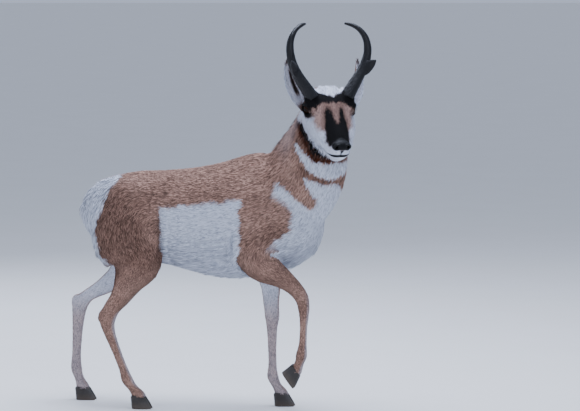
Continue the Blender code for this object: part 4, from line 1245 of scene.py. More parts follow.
def creased(mesh):
    """Presses the creases into both sides of the hide, each with a soft swelling beside it."""
    points = points_of(mesh)
    normals = normals_of(mesh)
    push = np.zeros(len(points))
    for depth, away in fold_profiles(points, normals):
        push += depth * (0.45 * np.exp(-((away - 1.5) / 0.6) ** 2) - np.exp(-away ** 2))
    set_points(mesh, points + normals * push[:, None])
    return mesh


def in_fold(points, normals):
    """How far each point lies inside one of the sharper creases, from 0 to 1."""
    found = np.zeros(len(points))
    for depth, away in fold_profiles(points, normals):
        found = np.maximum(found, ramp(depth, 0.003, 0.012) * np.exp(-(away / 0.8) ** 2))
    return found


def mark_hide(mesh):
    """Stores the markings, the bare share, the tone and how far along a hair the colour is read."""
    points = points_of(mesh)
    for name, values in zip(Marks._fields, marks_at(points, normals_of(mesh), limbs_at(points).owner)):
        set_values(mesh, name, values)
    set_values(mesh, "bare", bare_share(points))
    set_values(mesh, "tone", 0.5 + 0.2 * ripple(points, 0.05, 37))
    set_values(mesh, "tip", np.full(len(points), 0.25))


# Coat: tufts rooted on the hide, each a thin closed blade that swells from its root and tapers to its tip

TUFT_SHAPE = ((0.36, 1.0, 0.10),)
LOCK_SHAPE = ((0.30, 1.0, 0.10), (0.68, 0.70, 0.08))
PATCH = 0.0015
SKIN_SHADE_SHARE = 0.62


def in_order(corners):
    """Triangles in one fixed order, because a fused mesh gives its faces in another order on each run."""
    corners = np.sort(corners, axis=1)
    return corners[np.lexsort(corners.T)]


def scattered(mesh, spacing, seed, chosen=None):
    """Points spread over a mesh with one in each cell of the spacing, and the normals there."""
    mesh.calc_loop_triangles()
    corners = np.empty(len(mesh.loop_triangles) * 3, dtype=np.int32)
    mesh.loop_triangles.foreach_get("vertices", corners)
    corners = corners.reshape(-1, 3)
    points = points_of(mesh)
    if chosen is not None:
        corners = in_order(corners)
        corners = corners[chosen(points[corners].mean(axis=1))]
    a, b, c = (points[corners[:, i]] for i in range(3))
    area = np.linalg.norm(np.cross(b - a, c - a), axis=1) / 2
    draw = np.random.default_rng(seed)
    count = int(area.sum() / spacing ** 2 * 3.0)
    picked = draw.choice(len(area), count, p=area / area.sum())
    u, v = draw.random(count), draw.random(count)
    flipped = u + v > 1
    u[flipped], v[flipped] = 1 - u[flipped], 1 - v[flipped]
    shares = np.stack([1 - u - v, u, v], axis=1)
    found = np.einsum("ij,ijk->ik", shares, points[corners[picked]])
    facing = unit(np.einsum("ij,ijk->ik", shares, normals_of(mesh)[corners[picked]]))
    cells = np.floor(found / spacing).astype(np.int64)
    keys = (cells[:, 0] * 73856093) ^ (cells[:, 1] * 19349663) ^ (cells[:, 2] * 83492791)
    _, first = np.unique(keys, return_index=True)
    first.sort()
    return found[first], facing[first]


def blades(name, roots, normals, flow, sizes, values, unwrap, shape=TUFT_SHAPE):
    """One mesh of closed blades. Sizes are length, width and rise; values are stored on them by name."""
    count = len(roots)
    lie = unit(flow - normals * (flow * normals).sum(axis=1, keepdims=True))
    rows = 2 + 4 * len(shape)
    length, width, rise = (sizes[:, i, None] for i in range(3))
    way = unit(lie + normals * rise)
    across = unit(np.cross(way, normals))
    over = np.cross(across, way)
    tip = roots + way * length - over * (0.05 * length)
    points = np.empty((count, rows, 3))
    points[:, 0] = roots - normals * (0.0006 + 0.05 * width) - lie * (0.10 * length)
    points[:, -1] = tip
    along = np.zeros(rows)
    along[-1] = 1.0
    for i, (t, share, lift) in enumerate(shape):
        middle = roots + (tip - roots) * t + over * (lift * 0.5 * length)
        half = across * (0.5 * share * width)
        thick = over * (0.5 * 0.42 * share * width)
        first = 1 + 4 * i
        for k, corner in enumerate((middle - half, middle + thick, middle + half, middle - thick)):
            points[:, first + k] = corner
        along[first:first + 4] = t
    mesh = mesh_from(name, points.reshape(-1, 3), blade_faces(len(shape)), count, rows)
    for key, value in values.items():
        set_values(mesh, key, np.repeat(value, rows))
    set_values(mesh, "tip", np.tile(along, count))
    add_patches(mesh, unwrap, rows, len(shape))
    shade_like_skin(mesh, np.repeat(normals, rows, axis=0))
    return mesh


def blade_faces(rings):
    """Triangles of one blade whose points are root, rings of four, and tip."""
    faces = []
    last = 1 + 4 * rings
    for k in range(4):
        n = (k + 1) % 4
        faces.append((0, 1 + n, 1 + k))
        for i in range(rings - 1):
            low, high = 1 + 4 * i, 5 + 4 * i
            faces += [(low + k, low + n, high + n), (low + k, high + n, high + k)]
        top = last - 4
        faces.append((top + k, top + n, last))
    return np.array(faces)


def mesh_from(name, points, faces, count, rows):
    """A mesh of many copies of one small set of triangles."""
    every = (faces[None] + (np.arange(count) * rows)[:, None, None]).reshape(-1)
    mesh = bpy.data.meshes.new(name)
    mesh.vertices.add(len(points))
    mesh.vertices.foreach_set("co", points.ravel().astype(np.float32))
    mesh.loops.add(len(every))
    mesh.loops.foreach_set("vertex_index", every.astype(np.int32))
    mesh.polygons.add(len(every) // 3)
    mesh.polygons.foreach_set("loop_start", np.arange(0, len(every), 3, dtype=np.int32))
    mesh.update(calc_edges=True)
    return mesh


def add_patches(mesh, unwrap, rows, rings):
    """The UV map that lays each blade as a small patch at its root's place on the unwrapped skin."""
    patch = np.zeros((rows, 2))
    patch[0] = (0, -PATCH)
    patch[-1] = (0, PATCH)
    for i in range(rings):
        high = PATCH * (-0.2 + 0.5 * i)
        for k, across in enumerate((-1.0, -0.3, 1.0, 0.3)):
            patch[1 + 4 * i + k] = (across * PATCH, high)
    places = (np.clip(unwrap, 0.004, 0.996)[:, None] + patch[None]).reshape(-1, 2)
    corners = np.empty(len(mesh.loops), dtype=np.int32)
    mesh.loops.foreach_get("vertex_index", corners)
    layer = mesh.uv_layers.new(name="OFBake")
    layer.data.foreach_set("uv", places[corners].ravel().astype(np.float32))


def shade_like_skin(mesh, skin_normals):
    """Leans each blade's shading towards that of the skin below, as the soft sheen of a lying coat does."""
    own = normals_of(mesh)
    leant = unit(own * (1 - SKIN_SHADE_SHARE) + skin_normals * SKIN_SHADE_SHARE)
    mesh.normals_split_custom_set_from_vertices(leant.astype(np.float32))


def wandered(flow, roots, amount, size, seed):
    """The flow turned a little this way and that, as hair parts and waves."""
    sway = np.stack([ripple(roots, size, seed + i) for i in range(3)], axis=1)
    draw = np.random.default_rng(seed)
    return unit(flow) + amount * (sway * 0.6 + draw.normal(size=roots.shape) * 0.45)


# Coat pieces

FACE_SPACING = 0.0021
SHIN_SPACING = 0.0034
BODY_SPACING = 0.0041
SHIN_TOP = 0.42
MOST_TUFTS = 24000
RUMP_HAIR = (0.034, 0.0046, 0.20)
MANE_HAIR = (0.040, 0.0040, 0.28)
MANE_DARK = 0.45
CROWN_HAIR = (0.018, 0.0020, 0.80)
BELLY_HAIR = (0.036, 0.0042, 0.20)
CHEEK_HAIR = (0.020, 0.0020, 0.42)
# Share of the rump's tufts that is left out, and the steepest lie against the skin that a tuft may have
RUMP_THINNING = 0.30
STEEPEST_LIE = 0.93
Coat = namedtuple("Coat", "roots normals flow sizes marks rump place angle")


def styled(roots, normals, lie, marks):
    """The coat of the roots, with the rump's rosette and the longer hair of mane, crown, cheek and belly."""
    sizes = lie.hair[:, :3].copy()
    x, across, z = roots[:, 0], roots[:, 1], roots[:, 2]
    flow = unit(lie.flow)
    rump = marks.white * ramp(-x, 0.235, 0.300) * ramp(z, 0.520, 0.560)
    rear = (lie.owner == TRUNK_INDEX) * ramp(-x, 0.235, 0.300) * ramp(-normals[:, 0], 0.45, 0.75)
    rear = np.maximum(rump, rear * ramp(normals[:, 2], -0.70, -0.40))
    spread = np.stack([np.full(len(x), -0.35), across * 5.0, np.full(len(x), -0.95)], axis=1)
    flow = flow * (1 - rear[:, None]) + unit(spread) * rear[:, None]
    mane = (lie.owner == NECK_INDEX) * ramp(np.abs(lie.angle), 164, 172) * ramp(lie.place, 6.0, 9.0)
    at = in_head(roots)
    crown = marks.white * ramp(at[:, 2], 0.020, 0.032) * ramp(-at[:, 0], 0.030, 0.050)
    crown *= 0.35 + 0.65 * ramp(np.abs(at[:, 1]), 0.012, 0.026)
    cheek = marks.white * (lie.owner == HEAD_INDEX) * ramp(at[:, 1], 0.020, 0.050)
    cheek *= ramp(at[:, 0], 0.020, 0.050) * ramp(-at[:, 0], -0.165, -0.125)
    belly = (lie.owner == TRUNK_INDEX) * ramp(-normals[:, 2], 0.2, 0.7) * ramp(0.60 - z, 0.0, 0.04)
    belly *= ramp(x, -0.20, -0.12)
    for chosen, target in ((rump, RUMP_HAIR), (mane, MANE_HAIR), (crown, CROWN_HAIR), (cheek, CHEEK_HAIR),
                           (belly, BELLY_HAIR)):
        share = chosen[:, None]
        sizes = sizes * (1 - share) + np.array(target) * share
    draw = np.random.default_rng(41)
    for column, least, most in ((0, 0.75, 1.25), (1, 0.80, 1.25), (2, 0.45, 1.55)):
        sizes[:, column] *= draw.uniform(least, most, len(x))
    marks = marks._replace(dark=np.maximum(marks.dark, MANE_DARK * mane * ramp(lie.place, 10.0, 18.0)))
    flow = wandered(flow, roots, 0.20, 0.05, 43)
    return Coat(roots, normals, flow, sizes, marks, rump, lie.place, lie.angle)


def coat_meshes(hide):
    """All tufts of the body, legs and face, as meshes by limb and side, each small enough."""
    def on_head(points):
        return head_side(points) > 0

    regions = (
        (FACE_SPACING, 51, on_head),
        (SHIN_SPACING, 52, lambda points: (points[:, 2] < SHIN_TOP) & ~on_head(points)),
        (BODY_SPACING, 53, lambda points: (points[:, 2] >= SHIN_TOP) & ~on_head(points)),
    )
    spread = [scattered(hide, *region) for region in regions]
    roots, normals = (np.concatenate(found) for found in zip(*spread))
    covered = coat_cover(roots) > 0.5
    roots, normals = roots[covered], normals[covered]
    lie = limbs_at(roots)
    # A tuft's colour is read where its middle lies, so that the edges of the markings stay where they are
    # and single tufts of either side stray over them
    length = lie.hair[:, :1]
    stray = np.random.default_rng(45).normal(size=roots.shape) * (0.10 * length + 0.0010)
    middles = roots + unit(lie.flow) * (0.45 * length) + stray
    coat = styled(roots, normals, lie, marks_at(middles, normals, lie.owner))
    # No tuft stands where the hair's lie runs straight into or out of the skin
    keep = np.abs((unit(coat.flow) * normals).sum(axis=1)) < STEEPEST_LIE
    keep &= np.random.default_rng(44).random(len(roots)) > RUMP_THINNING * coat.rump
    made = []
    for limb, limb_name in enumerate(LIMB_NAMES):
        for side, turned in (("right", lie.angle < 0), ("left", lie.angle >= 0)):
            chosen = np.nonzero((lie.owner == limb) & turned & keep)[0]
            parts = max(1, math.ceil(len(chosen) / MOST_TUFTS))
            chosen = chosen[np.argsort(lie.place[chosen], kind="stable")]
            for i, part in enumerate(np.array_split(chosen, parts)):
                if len(part) >= 3:
                    name = "coat_" + limb_name + "_" + side + ("_" + str(i + 1) if parts > 1 else "")
                    made.append(coat_piece(name, part, coat))
    return made


def coat_piece(name, part, coat):
    """One mesh of the chosen tufts, unwrapped by the angle round its limb and the place along it."""
    roots, normals, place = coat.roots[part], coat.normals[part], coat.place[part]
    low, high = place.min(), place.max()
    unwrap = np.stack([np.abs(coat.angle[part]) / 180, (place - low) / max(high - low, 1e-6)], axis=1)
    values = {kind: column[part] for kind, column in zip(Marks._fields, coat.marks)}
    # Painted shade: tufts in the sharper creases and on the low underside get their tone pressed down, which
    # darkens tan hair and greys white hair there
    underside_shade = 0.6 * ramp(-normals[:, 2], -0.05, 0.60) * ramp(0.66 - roots[:, 2], 0.0, 0.10)
    painted_shade = np.maximum(in_fold(roots, normals), underside_shade)
    values["tone"] = np.random.default_rng(len(part)).random(len(part)) * (1 - painted_shade)
    shape = LOCK_SHAPE if coat.rump[part].mean() > 0.25 else TUFT_SHAPE
    return blades(name, roots, normals, coat.flow[part], coat.sizes[part], values, unwrap, shape)


# Materials

WHITE_HAIR = "#DADEE9"
GREY_HAIR_AND_SHADE = "#8B90A0"
TAN_HAIR = "#906B5C"
TAN_PALE_HAIR = "#BF9987"
BROWN_HAIR = "#684B3F"
RUFOUS_HAIR = "#431D08"
DARK_HAIR = "#080607"
ROOT_SHADE = "#33261F"
NOSE_SKIN = "#050506"


def linear(hex_colour):
    """The linear values of an sRGB hex colour."""
    parts = [int(hex_colour[i:i + 2], 16) / 255 for i in (1, 3, 5)]
    return [c / 12.92 if c <= 0.04045 else ((c + 0.055) / 1.055) ** 2.4 for c in parts] + [1.0]


def wire(tree, node, inputs):
    """Gives each named input of a node a constant or a link from another node's socket."""
    for key, value in inputs.items():
        if isinstance(value, bpy.types.NodeSocket):
            tree.links.new(value, node.inputs[key])
        else:
            node.inputs[key].default_value = value


def add(tree, kind, inputs=None, **settings):
    """Adds a node with its settings and inputs."""
    node = tree.nodes.new(kind)
    for name, value in settings.items():
        setattr(node, name, value)
    wire(tree, node, inputs or {})
    return node


def new_material(name, inputs):
    """A Principled material that is no metal, with constants set on its own sockets."""
    material = bpy.data.materials.new(name)
    material.use_nodes = True
    tree = material.node_tree
    surface = tree.nodes["Principled BSDF"]
    wire(tree, surface, {"Metallic": 0.0, **inputs})
    return material, tree, surface


def hair_colour(tree):
    """Coat colours laid over one another by the stored markings, then shaded from root to tip."""
    place = add(tree, "ShaderNodeTexCoord").outputs["Object"]
    stored = {}
    for name in (*Marks._fields, "tone", "tip"):
        reader = add(tree, "ShaderNodeAttribute", attribute_type="GEOMETRY", attribute_name=name)
        stored[name] = reader.outputs["Fac"]
    # Patches 40 to 60 mm across, as the coat's wash of paler and darker tan
    wash = add(tree, "ShaderNodeTexNoise", {"Vector": place, "Scale": 18.0, "Detail": 3.0}).outputs["Fac"]
    pale_tip = add(tree, "ShaderNodeMath", {0: stored["tip"], 1: 0.45}, operation="MULTIPLY").outputs[0]
    root = add(tree, "ShaderNodeMapRange", {"Value": stored["tip"], "From Min": 0.0, "From Max": 0.4,
                                            "To Min": 0.55, "To Max": 0.0}).outputs[0]
    colour = linear(TAN_HAIR)
    for share, shade in ((wash, TAN_PALE_HAIR), (stored["brown"], BROWN_HAIR), (pale_tip, TAN_PALE_HAIR),
                         (stored["rufous"], RUFOUS_HAIR), (root, ROOT_SHADE)):
        mix = add(tree, "ShaderNodeMix", {0: share, 6: colour, 7: linear(shade)}, data_type="RGBA")
        colour = mix.outputs[2]
    # Single tufts differ at random in depth of colour, which gives the coat its pepper and salt; where the
    # tone is pressed down in creases and on the underside, this also darkens the hair as painted shade
    shade = add(tree, "ShaderNodeMapRange", {"Value": stored["tone"], "From Min": 0.0, "From Max": 1.0,
                                             "To Min": 0.30, "To Max": 1.40}).outputs[0]
    colour = add(tree, "ShaderNodeMix", {0: 1.0, 6: colour, 7: shade}, data_type="RGBA",
                 blend_type="MULTIPLY").outputs[2]
    # White hair greys where the tone is low: at random for pepper and salt, and as painted shade in creases
    # and on the underside
    grey_and_shade = add(tree, "ShaderNodeMapRange", {"Value": stored["tone"], "From Min": 0.0, "From Max": 0.55,
                                            "To Min": 0.85, "To Max": 0.0}).outputs[0]
    white = add(tree, "ShaderNodeMix", {0: grey_and_shade, 6: linear(WHITE_HAIR), 7: linear(GREY_HAIR_AND_SHADE)},
                data_type="RGBA").outputs[2]
    for name, shade in (("white", white), ("dark", linear(DARK_HAIR))):
        mix = add(tree, "ShaderNodeMix", {0: stored[name], 6: colour, 7: shade}, data_type="RGBA")
        colour = mix.outputs[2]
    return colour


def coat_material():
    """Lying guard hair: dry, hollow and coarse, so it is matt, with paler tips and darker roots."""
    constants = {"Roughness": 0.80, "Specular IOR Level": 0.15}
    material, tree, surface = new_material("guard_hair_lying_dry", constants)
    wire(tree, surface, {"Base Color": hair_colour(tree)})
    return material


def hide_material():
    """Short close hair on skin: the coat's colours with fine streaks, and bare black leather on the nose."""
    constants = {"Roughness": 0.75, "Specular IOR Level": 0.18}
    material, tree, surface = new_material("short_hair_on_hide", constants)
    place = add(tree, "ShaderNodeTexCoord").outputs["Object"]
    bare = add(tree, "ShaderNodeAttribute", attribute_type="GEOMETRY", attribute_name="bare").outputs["Fac"]
    colour = add(tree, "ShaderNodeMix", {0: bare, 6: hair_colour(tree), 7: linear(NOSE_SKIN)},
                 data_type="RGBA")
    rough = add(tree, "ShaderNodeMapRange", {"Value": bare, "To Min": 0.80, "To Max": 0.52})
    # Hair streaks about 1.5 mm apart, and the nose pad's grains about 1 mm across, both drawn a little coarse
    streaks = add(tree, "ShaderNodeTexNoise", {"Vector": place, "Scale": 420.0, "Detail": 2.0})
    grains = add(tree, "ShaderNodeTexVoronoi", {"Vector": place, "Scale": 620.0})
    height = add(tree, "ShaderNodeMix", {0: bare, 2: streaks.outputs["Fac"], 3: grains.outputs["Distance"]},
                 data_type="FLOAT").outputs[0]
    bump = add(tree, "ShaderNodeBump", {"Strength": 0.5, "Distance": 0.0008, "Height": height})
    wire(tree, surface, {"Base Color": colour.outputs[2], "Roughness": rough.outputs[0],
                         "Normal": bump.outputs["Normal"]})
    return material


def horn_material():
    """Weathered horn sheath: black keratin with fine lengthwise cracks that polish towards the tips."""
    constants = {"Specular IOR Level": 0.26, "IOR": 1.55}
    material, tree, surface = new_material("weathered_horn_keratin", constants)
    grain = add(tree, "ShaderNodeAttribute", attribute_name="grain").outputs["Vector"]
    worn = add(tree, "ShaderNodeAttribute", attribute_type="GEOMETRY", attribute_name="worn").outputs["Fac"]
    # Fibres about 0.8 mm across run the length of the sheath
    fibres = add(tree, "ShaderNodeTexNoise", {"Vector": grain, "Scale": 260.0, "Detail": 6.0,
                                              "Roughness": 0.65}).outputs["Fac"]
    blotch = add(tree, "ShaderNodeTexNoise", {"Vector": grain, "Scale": 38.0, "Detail": 3.0}).outputs["Fac"]
    colour = add(tree, "ShaderNodeMix", {0: fibres, 6: linear("#030304"), 7: linear("#131317")},
                 data_type="RGBA").outputs[2]
    dusty = add(tree, "ShaderNodeMapRange", {"Value": blotch, "From Min": 0.50, "From Max": 0.75,
                                             "To Min": 0.0, "To Max": 0.16}).outputs[0]
    colour = add(tree, "ShaderNodeMix", {0: dusty, 6: colour, 7: linear("#3A3634")}, data_type="RGBA")
    rough = add(tree, "ShaderNodeMapRange", {"Value": worn, "To Min": 0.56, "To Max": 0.38})
    bump = add(tree, "ShaderNodeBump", {"Strength": 0.6, "Distance": 0.0010, "Height": fibres})
    wire(tree, surface, {"Base Color": colour.outputs[2], "Roughness": rough.outputs[0],
                         "Normal": bump.outputs["Normal"]})
    return material


def hoof_material():
    """Hoof wall: dark keratin with growth rings and dust near the ground."""
    constants = {"Roughness": 0.42, "Specular IOR Level": 0.5, "IOR": 1.55}
    material, tree, surface = new_material("hoof_wall_keratin", constants)
    reader = add(tree, "ShaderNodeAttribute", attribute_type="GEOMETRY", attribute_name="height")
    height = reader.outputs["Fac"]
    place = add(tree, "ShaderNodeTexCoord").outputs["Object"]
    noise = add(tree, "ShaderNodeTexNoise", {"Vector": place, "Scale": 180.0, "Detail": 4.0}).outputs["Fac"]
    # Growth rings about 5 mm apart
    wave = add(tree, "ShaderNodeMath", {0: height, 1: 60.0, 2: noise}, operation="MULTIPLY_ADD").outputs[0]
    wave = add(tree, "ShaderNodeMath", {0: wave, 1: 3.0}, operation="MULTIPLY").outputs[0]
    rings = add(tree, "ShaderNodeMath", {0: wave}, operation="SINE").outputs[0]
    dust = add(tree, "ShaderNodeMapRange", {"Value": height, "From Min": 0.0, "From Max": 0.6,
                                            "To Min": 0.45, "To Max": 0.0}).outputs[0]
    colour = linear("#17130F")
    for share, shade in ((noise, "#3B322B"), (dust, "#6B5B4A")):
        mix = add(tree, "ShaderNodeMix", {0: share, 6: colour, 7: linear(shade)}, data_type="RGBA")
        colour = mix.outputs[2]
    bump = add(tree, "ShaderNodeBump", {"Strength": 0.5, "Distance": 0.0008, "Height": rings})
    wire(tree, surface, {"Base Color": colour, "Normal": bump.outputs["Normal"]})
    return material


def eye_material():
    """A wet dark eye: nearly black iris with a level oval pupil under a clear glossy cornea."""
    constants = {"Roughness": 0.05, "Specular IOR Level": 0.08, "IOR": 1.38, "Coat Weight": 0.10,
                 "Coat Roughness": 0.02}
    material, tree, surface = new_material("wet_dark_eye", constants)
    gaze = add(tree, "ShaderNodeAttribute", attribute_name="gaze").outputs["Vector"]
    split = add(tree, "ShaderNodeSeparateXYZ", {"Vector": gaze}).outputs
    wide = add(tree, "ShaderNodeMath", {0: split["X"], 1: 0.62}, operation="MULTIPLY").outputs[0]
    oval = add(tree, "ShaderNodeCombineXYZ", {"X": wide, "Y": split["Y"]}).outputs[0]
    across = add(tree, "ShaderNodeVectorMath", {0: oval}, operation="LENGTH").outputs["Value"]
    outward = add(tree, "ShaderNodeVectorMath", {0: gaze}, operation="LENGTH").outputs["Value"]
    pupil = add(tree, "ShaderNodeMapRange", {"Value": across, "From Min": 0.16, "From Max": 0.20}).outputs[0]
    rim = add(tree, "ShaderNodeMapRange", {"Value": outward, "From Min": 0.60, "From Max": 0.70}).outputs[0]
    fibres = add(tree, "ShaderNodeTexNoise", {"Vector": gaze, "Scale": 14.0, "Detail": 4.0}).outputs["Fac"]
    iris = add(tree, "ShaderNodeMix", {0: fibres, 6: linear("#150C08"), 7: linear("#3A2416")},
               data_type="RGBA").outputs[2]
    colour = linear("#020203")
    for share, shade in ((pupil, iris), (rim, linear("#0C0807"))):
        colour = add(tree, "ShaderNodeMix", {0: share, 6: colour, 7: shade}, data_type="RGBA").outputs[2]
    wire(tree, surface, {"Base Color": colour})
    return material


def lash_material():
    """Lashes: stiff black hair with a slight shine."""
    constants = {"Base Color": linear("#0D0A09"), "Roughness": 0.45, "Specular IOR Level": 0.4}
    return new_material("stiff_black_lashes", constants)[0]


def floor_material():
    """Matt painted studio floor, pale and plain."""
    constants = {"Roughness": 0.9, "Specular IOR Level": 0.2}
    material, tree, surface = new_material("matt_painted_floor", constants)
    place = add(tree, "ShaderNodeTexCoord").outputs["Object"]
    noise = add(tree, "ShaderNodeTexNoise", {"Vector": place, "Scale": 3.0, "Detail": 3.0}).outputs["Fac"]
    colour = add(tree, "ShaderNodeMix", {0: noise, 6: linear("#EDECE8"), 7: linear("#F2F1EE")},
                 data_type="RGBA")
    wire(tree, surface, {"Base Color": colour.outputs[2]})
    return material


# Eyes

def eye_mesh(side):
    """The ball of the eye with its cornea raised, and its own frame stored for the iris."""
    mesh = to_mesh(ellipsoid((0, 0, 0), (EYE_RADIUS - 0.0004,) * 3, UPRIGHT, 48))
    points = points_of(mesh)
    facing = unit(points)[:, 2]
    points *= (1 + 0.055 * ramp(facing, 0.78, 1.0))[:, None]
    set_points(mesh, points)
    flat = points / EYE_RADIUS
    flat[:, 2] = 0
    flat[facing < 0] *= 5
    set_vectors(mesh, "gaze", flat)
    look, fore, rise = eye_frame(side)
    turn = Matrix((fore * side, rise, look)).transposed()
    mesh.transform(head_frame() @ Matrix.Translation(eye_centre(side)) @ turn.to_4x4())
    return mesh


# Horns

HORN_VOXEL = 0.0017
# How far the faces of the sheath are sunk, so that its knobs and flutes stand at the level of the solid
HORN_SINK = 0.0004


def horn_mesh(side):
    """The horn sheath: stem and prong fused, its base pearled and its sides fluted."""
    stem = horn_loft(side, HORN_PATH[:-2] + BLUNT_TIP, 40, FORWARD)
    prong = horn_loft(side, PRONG_PATH, 32, UPWARD)
    mesh = fused([moved(stem, level_frame()), moved(prong, level_frame())], HORN_VOXEL, 4)
    points = points_of(mesh)
    local = points_in(level_frame(), points)
    up = local[:, 2]
    path = smooth_rows([(ahead, side * out, z) for out, ahead, z, _, _ in HORN_PATH], 6)
    near = np.argmin(((local[:, None] - path[None]) ** 2).sum(axis=2), axis=1)
    offset = local - path[near]
    length = np.concatenate([[0], np.cumsum(np.linalg.norm(np.diff(path, axis=0), axis=1))])[near]
    low = ramp(-up, -0.150, -0.050)
    rough = 0.0011 * low * np.abs(ripple(local * np.array([1, 1, 0.45]), 0.010, 61))
    rough += 0.0005 * ripple(local * np.array([1, 1, 0.12]), 0.006, 62) * (1 - 0.6 * ramp(up, 0.16, 0.25))
    set_points(mesh, points + normals_of(mesh) * (rough - HORN_SINK)[:, None])
    lengthwise = offset[:, 2] * 0.1 + 0.10 * length
    set_vectors(mesh, "grain", np.stack([offset[:, 0], offset[:, 1], lengthwise], axis=1))
    set_values(mesh, "worn", ramp(up, 0.10, 0.26))
    return mesh


# Ears

EAR_ROWS = 40
EAR_COLUMNS = 37
EAR_SPACING = 0.0024


def ear_mesh(side):
    """The ear's cupped leaf, thick at its root and thin at its rim, with a shallow fold and ribs inside."""
    middles, walls = [], []
    for i in range(EAR_ROWS):
        t = i / (EAR_ROWS - 1)
        half_width = 0.5 * EAR_WIDTH[side] * (0.60 + 0.40 * math.sin(math.pi * min(t, 0.999)) ** 0.8)
        half_width *= (1 - t ** 4.5) ** 0.6 * 0.985 + 0.015
        arc = math.radians(150 - 98 * t ** 0.6)
        radius = half_width / math.sin(min(arc, math.pi / 2))
        point, lean = ear_axis(side, t)
        opens = ear_opening(side)
        opens = (opens - lean * lean.dot(opens)).normalized()
        across = lean.cross(opens) * side
        for k in range(EAR_COLUMNS):
            turned = 2 * k / (EAR_COLUMNS - 1) - 1
            angle = arc * turned
            fold = 0.0010 * math.sin(3 * math.pi * turned) * math.sin(math.pi * t)
            away = across * math.sin(angle) - opens * math.cos(angle) * 0.8
            middles.append(point + away * (radius + fold))
            walls.append(0.5 * EAR_THICKNESS * (1.15 - 0.75 * abs(turned) ** 3) * (1 - 0.45 * t))
    return leaf_between(middles, walls, side)


def leaf_between(middles, walls, side):
    """A closed leaf round a grid of middle points, and where each of its points lies on the ear."""
    shape = bmesh.new()
    grid = np.array(middles).reshape(EAR_ROWS, EAR_COLUMNS, 3)
    facing = np.cross(np.gradient(grid, axis=0), np.gradient(grid, axis=1))
    facing /= np.maximum(np.linalg.norm(facing, axis=2, keepdims=True), 1e-9)
    if facing[EAR_ROWS // 2, EAR_COLUMNS // 2] @ np.array(ear_opening(side)) < 0:
        facing = -facing
    half = np.array(walls).reshape(EAR_ROWS, EAR_COLUMNS, 1)
    rows, values = [], []
    for sheet, inside in ((grid + facing * half, 1.0), (grid - facing * half, 0.0)):
        rows.append([[shape.verts.new(p) for p in line] for line in sheet])
        values += [(i / (EAR_ROWS - 1), 2 * k / (EAR_COLUMNS - 1) - 1, inside)
                   for i in range(EAR_ROWS) for k in range(EAR_COLUMNS)]
    inner, outer = rows
    for i in range(EAR_ROWS - 1):
        for k in range(EAR_COLUMNS - 1):
            for sheet in rows:
                shape.faces.new((sheet[i][k], sheet[i][k + 1], sheet[i + 1][k + 1], sheet[i + 1][k]))
        for k in (0, EAR_COLUMNS - 1):
            shape.faces.new((inner[i][k], inner[i + 1][k], outer[i + 1][k], outer[i][k]))
    for i in (0, EAR_ROWS - 1):
        for k in range(EAR_COLUMNS - 1):
            shape.faces.new((inner[i][k], inner[i][k + 1], outer[i][k + 1], outer[i][k]))
    bmesh.ops.recalc_face_normals(shape, faces=shape.faces)
    return to_mesh(moved(shape, level_frame())), np.array(values)


def ear_marks(where):
    """Ear colours: brown-tan outside with a dark tip, pale inside with a dark stripe and a pale rim."""
    t, turned, inside = where.T
    rim = ramp(np.abs(turned), 0.82, 0.95)
    tip = ramp(t, 0.86, 0.97)
    stripe = inside * ramp(-np.abs(turned - 0.26), -0.20, -0.07) * ramp(t, 0.20, 0.34)
    stripe *= ramp(-t, -0.88, -0.72)
    base = ramp(-t, -0.16, -0.06)
    white = np.clip(inside * (0.80 - 0.75 * stripe) + rim * 0.85, 0, 1) * (1 - 0.8 * tip) * (1 - base)
    dark = np.clip(0.85 * tip + 0.95 * stripe + 0.35 * base, 0, 1)
    brown = (1 - inside) * 0.55 + 0.5 * base
    return Marks(white, dark * (1 - 0.3 * rim), 0.25 * base, brown * (1 - white))


def ear_coat(mesh, where, side):
    """Short tufts that lie along the ear, and longer pale ones in its cup."""
    roots, normals, at = scattered_on(mesh, where, EAR_SPACING, 71 + side)
    t, turned, inside = at.T
    turn = level_frame().to_3x3()
    ways = np.array([turn @ ear_axis(side, share)[1] for share in np.linspace(0, 1, 12)])
    flow = read_rows(ways, t * 11)
    rim = ramp(np.abs(turned), 0.86, 0.97)
    length = np.where(inside > 0.5, 0.0105 - 0.003 * t, 0.0080) + 0.003 * rim
    rise = np.where(inside > 0.5, 0.20, 0.12) + 0.08 * rim
    sizes = np.stack([length, np.full(len(t), 0.0015), rise], axis=1)
    unwrap = np.stack([(turned + 1) / 4 + 0.5 * inside, t], axis=1)
    values = {**ear_marks(at)._asdict(), "tone": np.random.default_rng(73).random(len(roots))}
    flow = wandered(flow, roots, 0.25, 0.02, 72)
    return blades("coat_ear_" + SIDE_NAMES[side], roots, normals, flow, sizes, values, unwrap)


def scattered_on(mesh, where, spacing, seed):
    """Like scattered, and also reads where each root lies from numbers kept for the mesh's points."""
    roots, normals = scattered(mesh, spacing, seed)
    points = points_of(mesh)
    facing = normals_of(mesh)
    at = np.empty((len(roots), where.shape[1]))
    for first in range(0, len(roots), 2000):
        some = slice(first, first + 2000)
        away = ((roots[some, None] - points[None]) ** 2).sum(axis=2)
        # Of the leaf's two sheets, the one that faces the root's own way wins
        away += 1e-4 * (1 - normals[some] @ facing.T)
        at[some] = where[np.argmin(away, axis=1)]
    return roots, normals, at


# Hooves

# Each row of a claw gives its height over the sole, the shares of its length and width, and its lead

CLAW_ROWS = (
    (0.0000, 0.97, 0.93, CLAW_LEAD),
    (0.0015, 1.00, 0.98, CLAW_LEAD),
    (0.0040, 1.02, 1.00, CLAW_LEAD),
    (0.0180, 0.93, 1.02, CLAW_LEAD * 0.68),
    (0.0320, 0.82, 1.02, CLAW_LEAD * 0.30),
    (0.0420, 0.74, 1.00, CLAW_LEAD * 0.02),
    (0.0470, 0.60, 0.84, -CLAW_LEAD * 0.10),
)


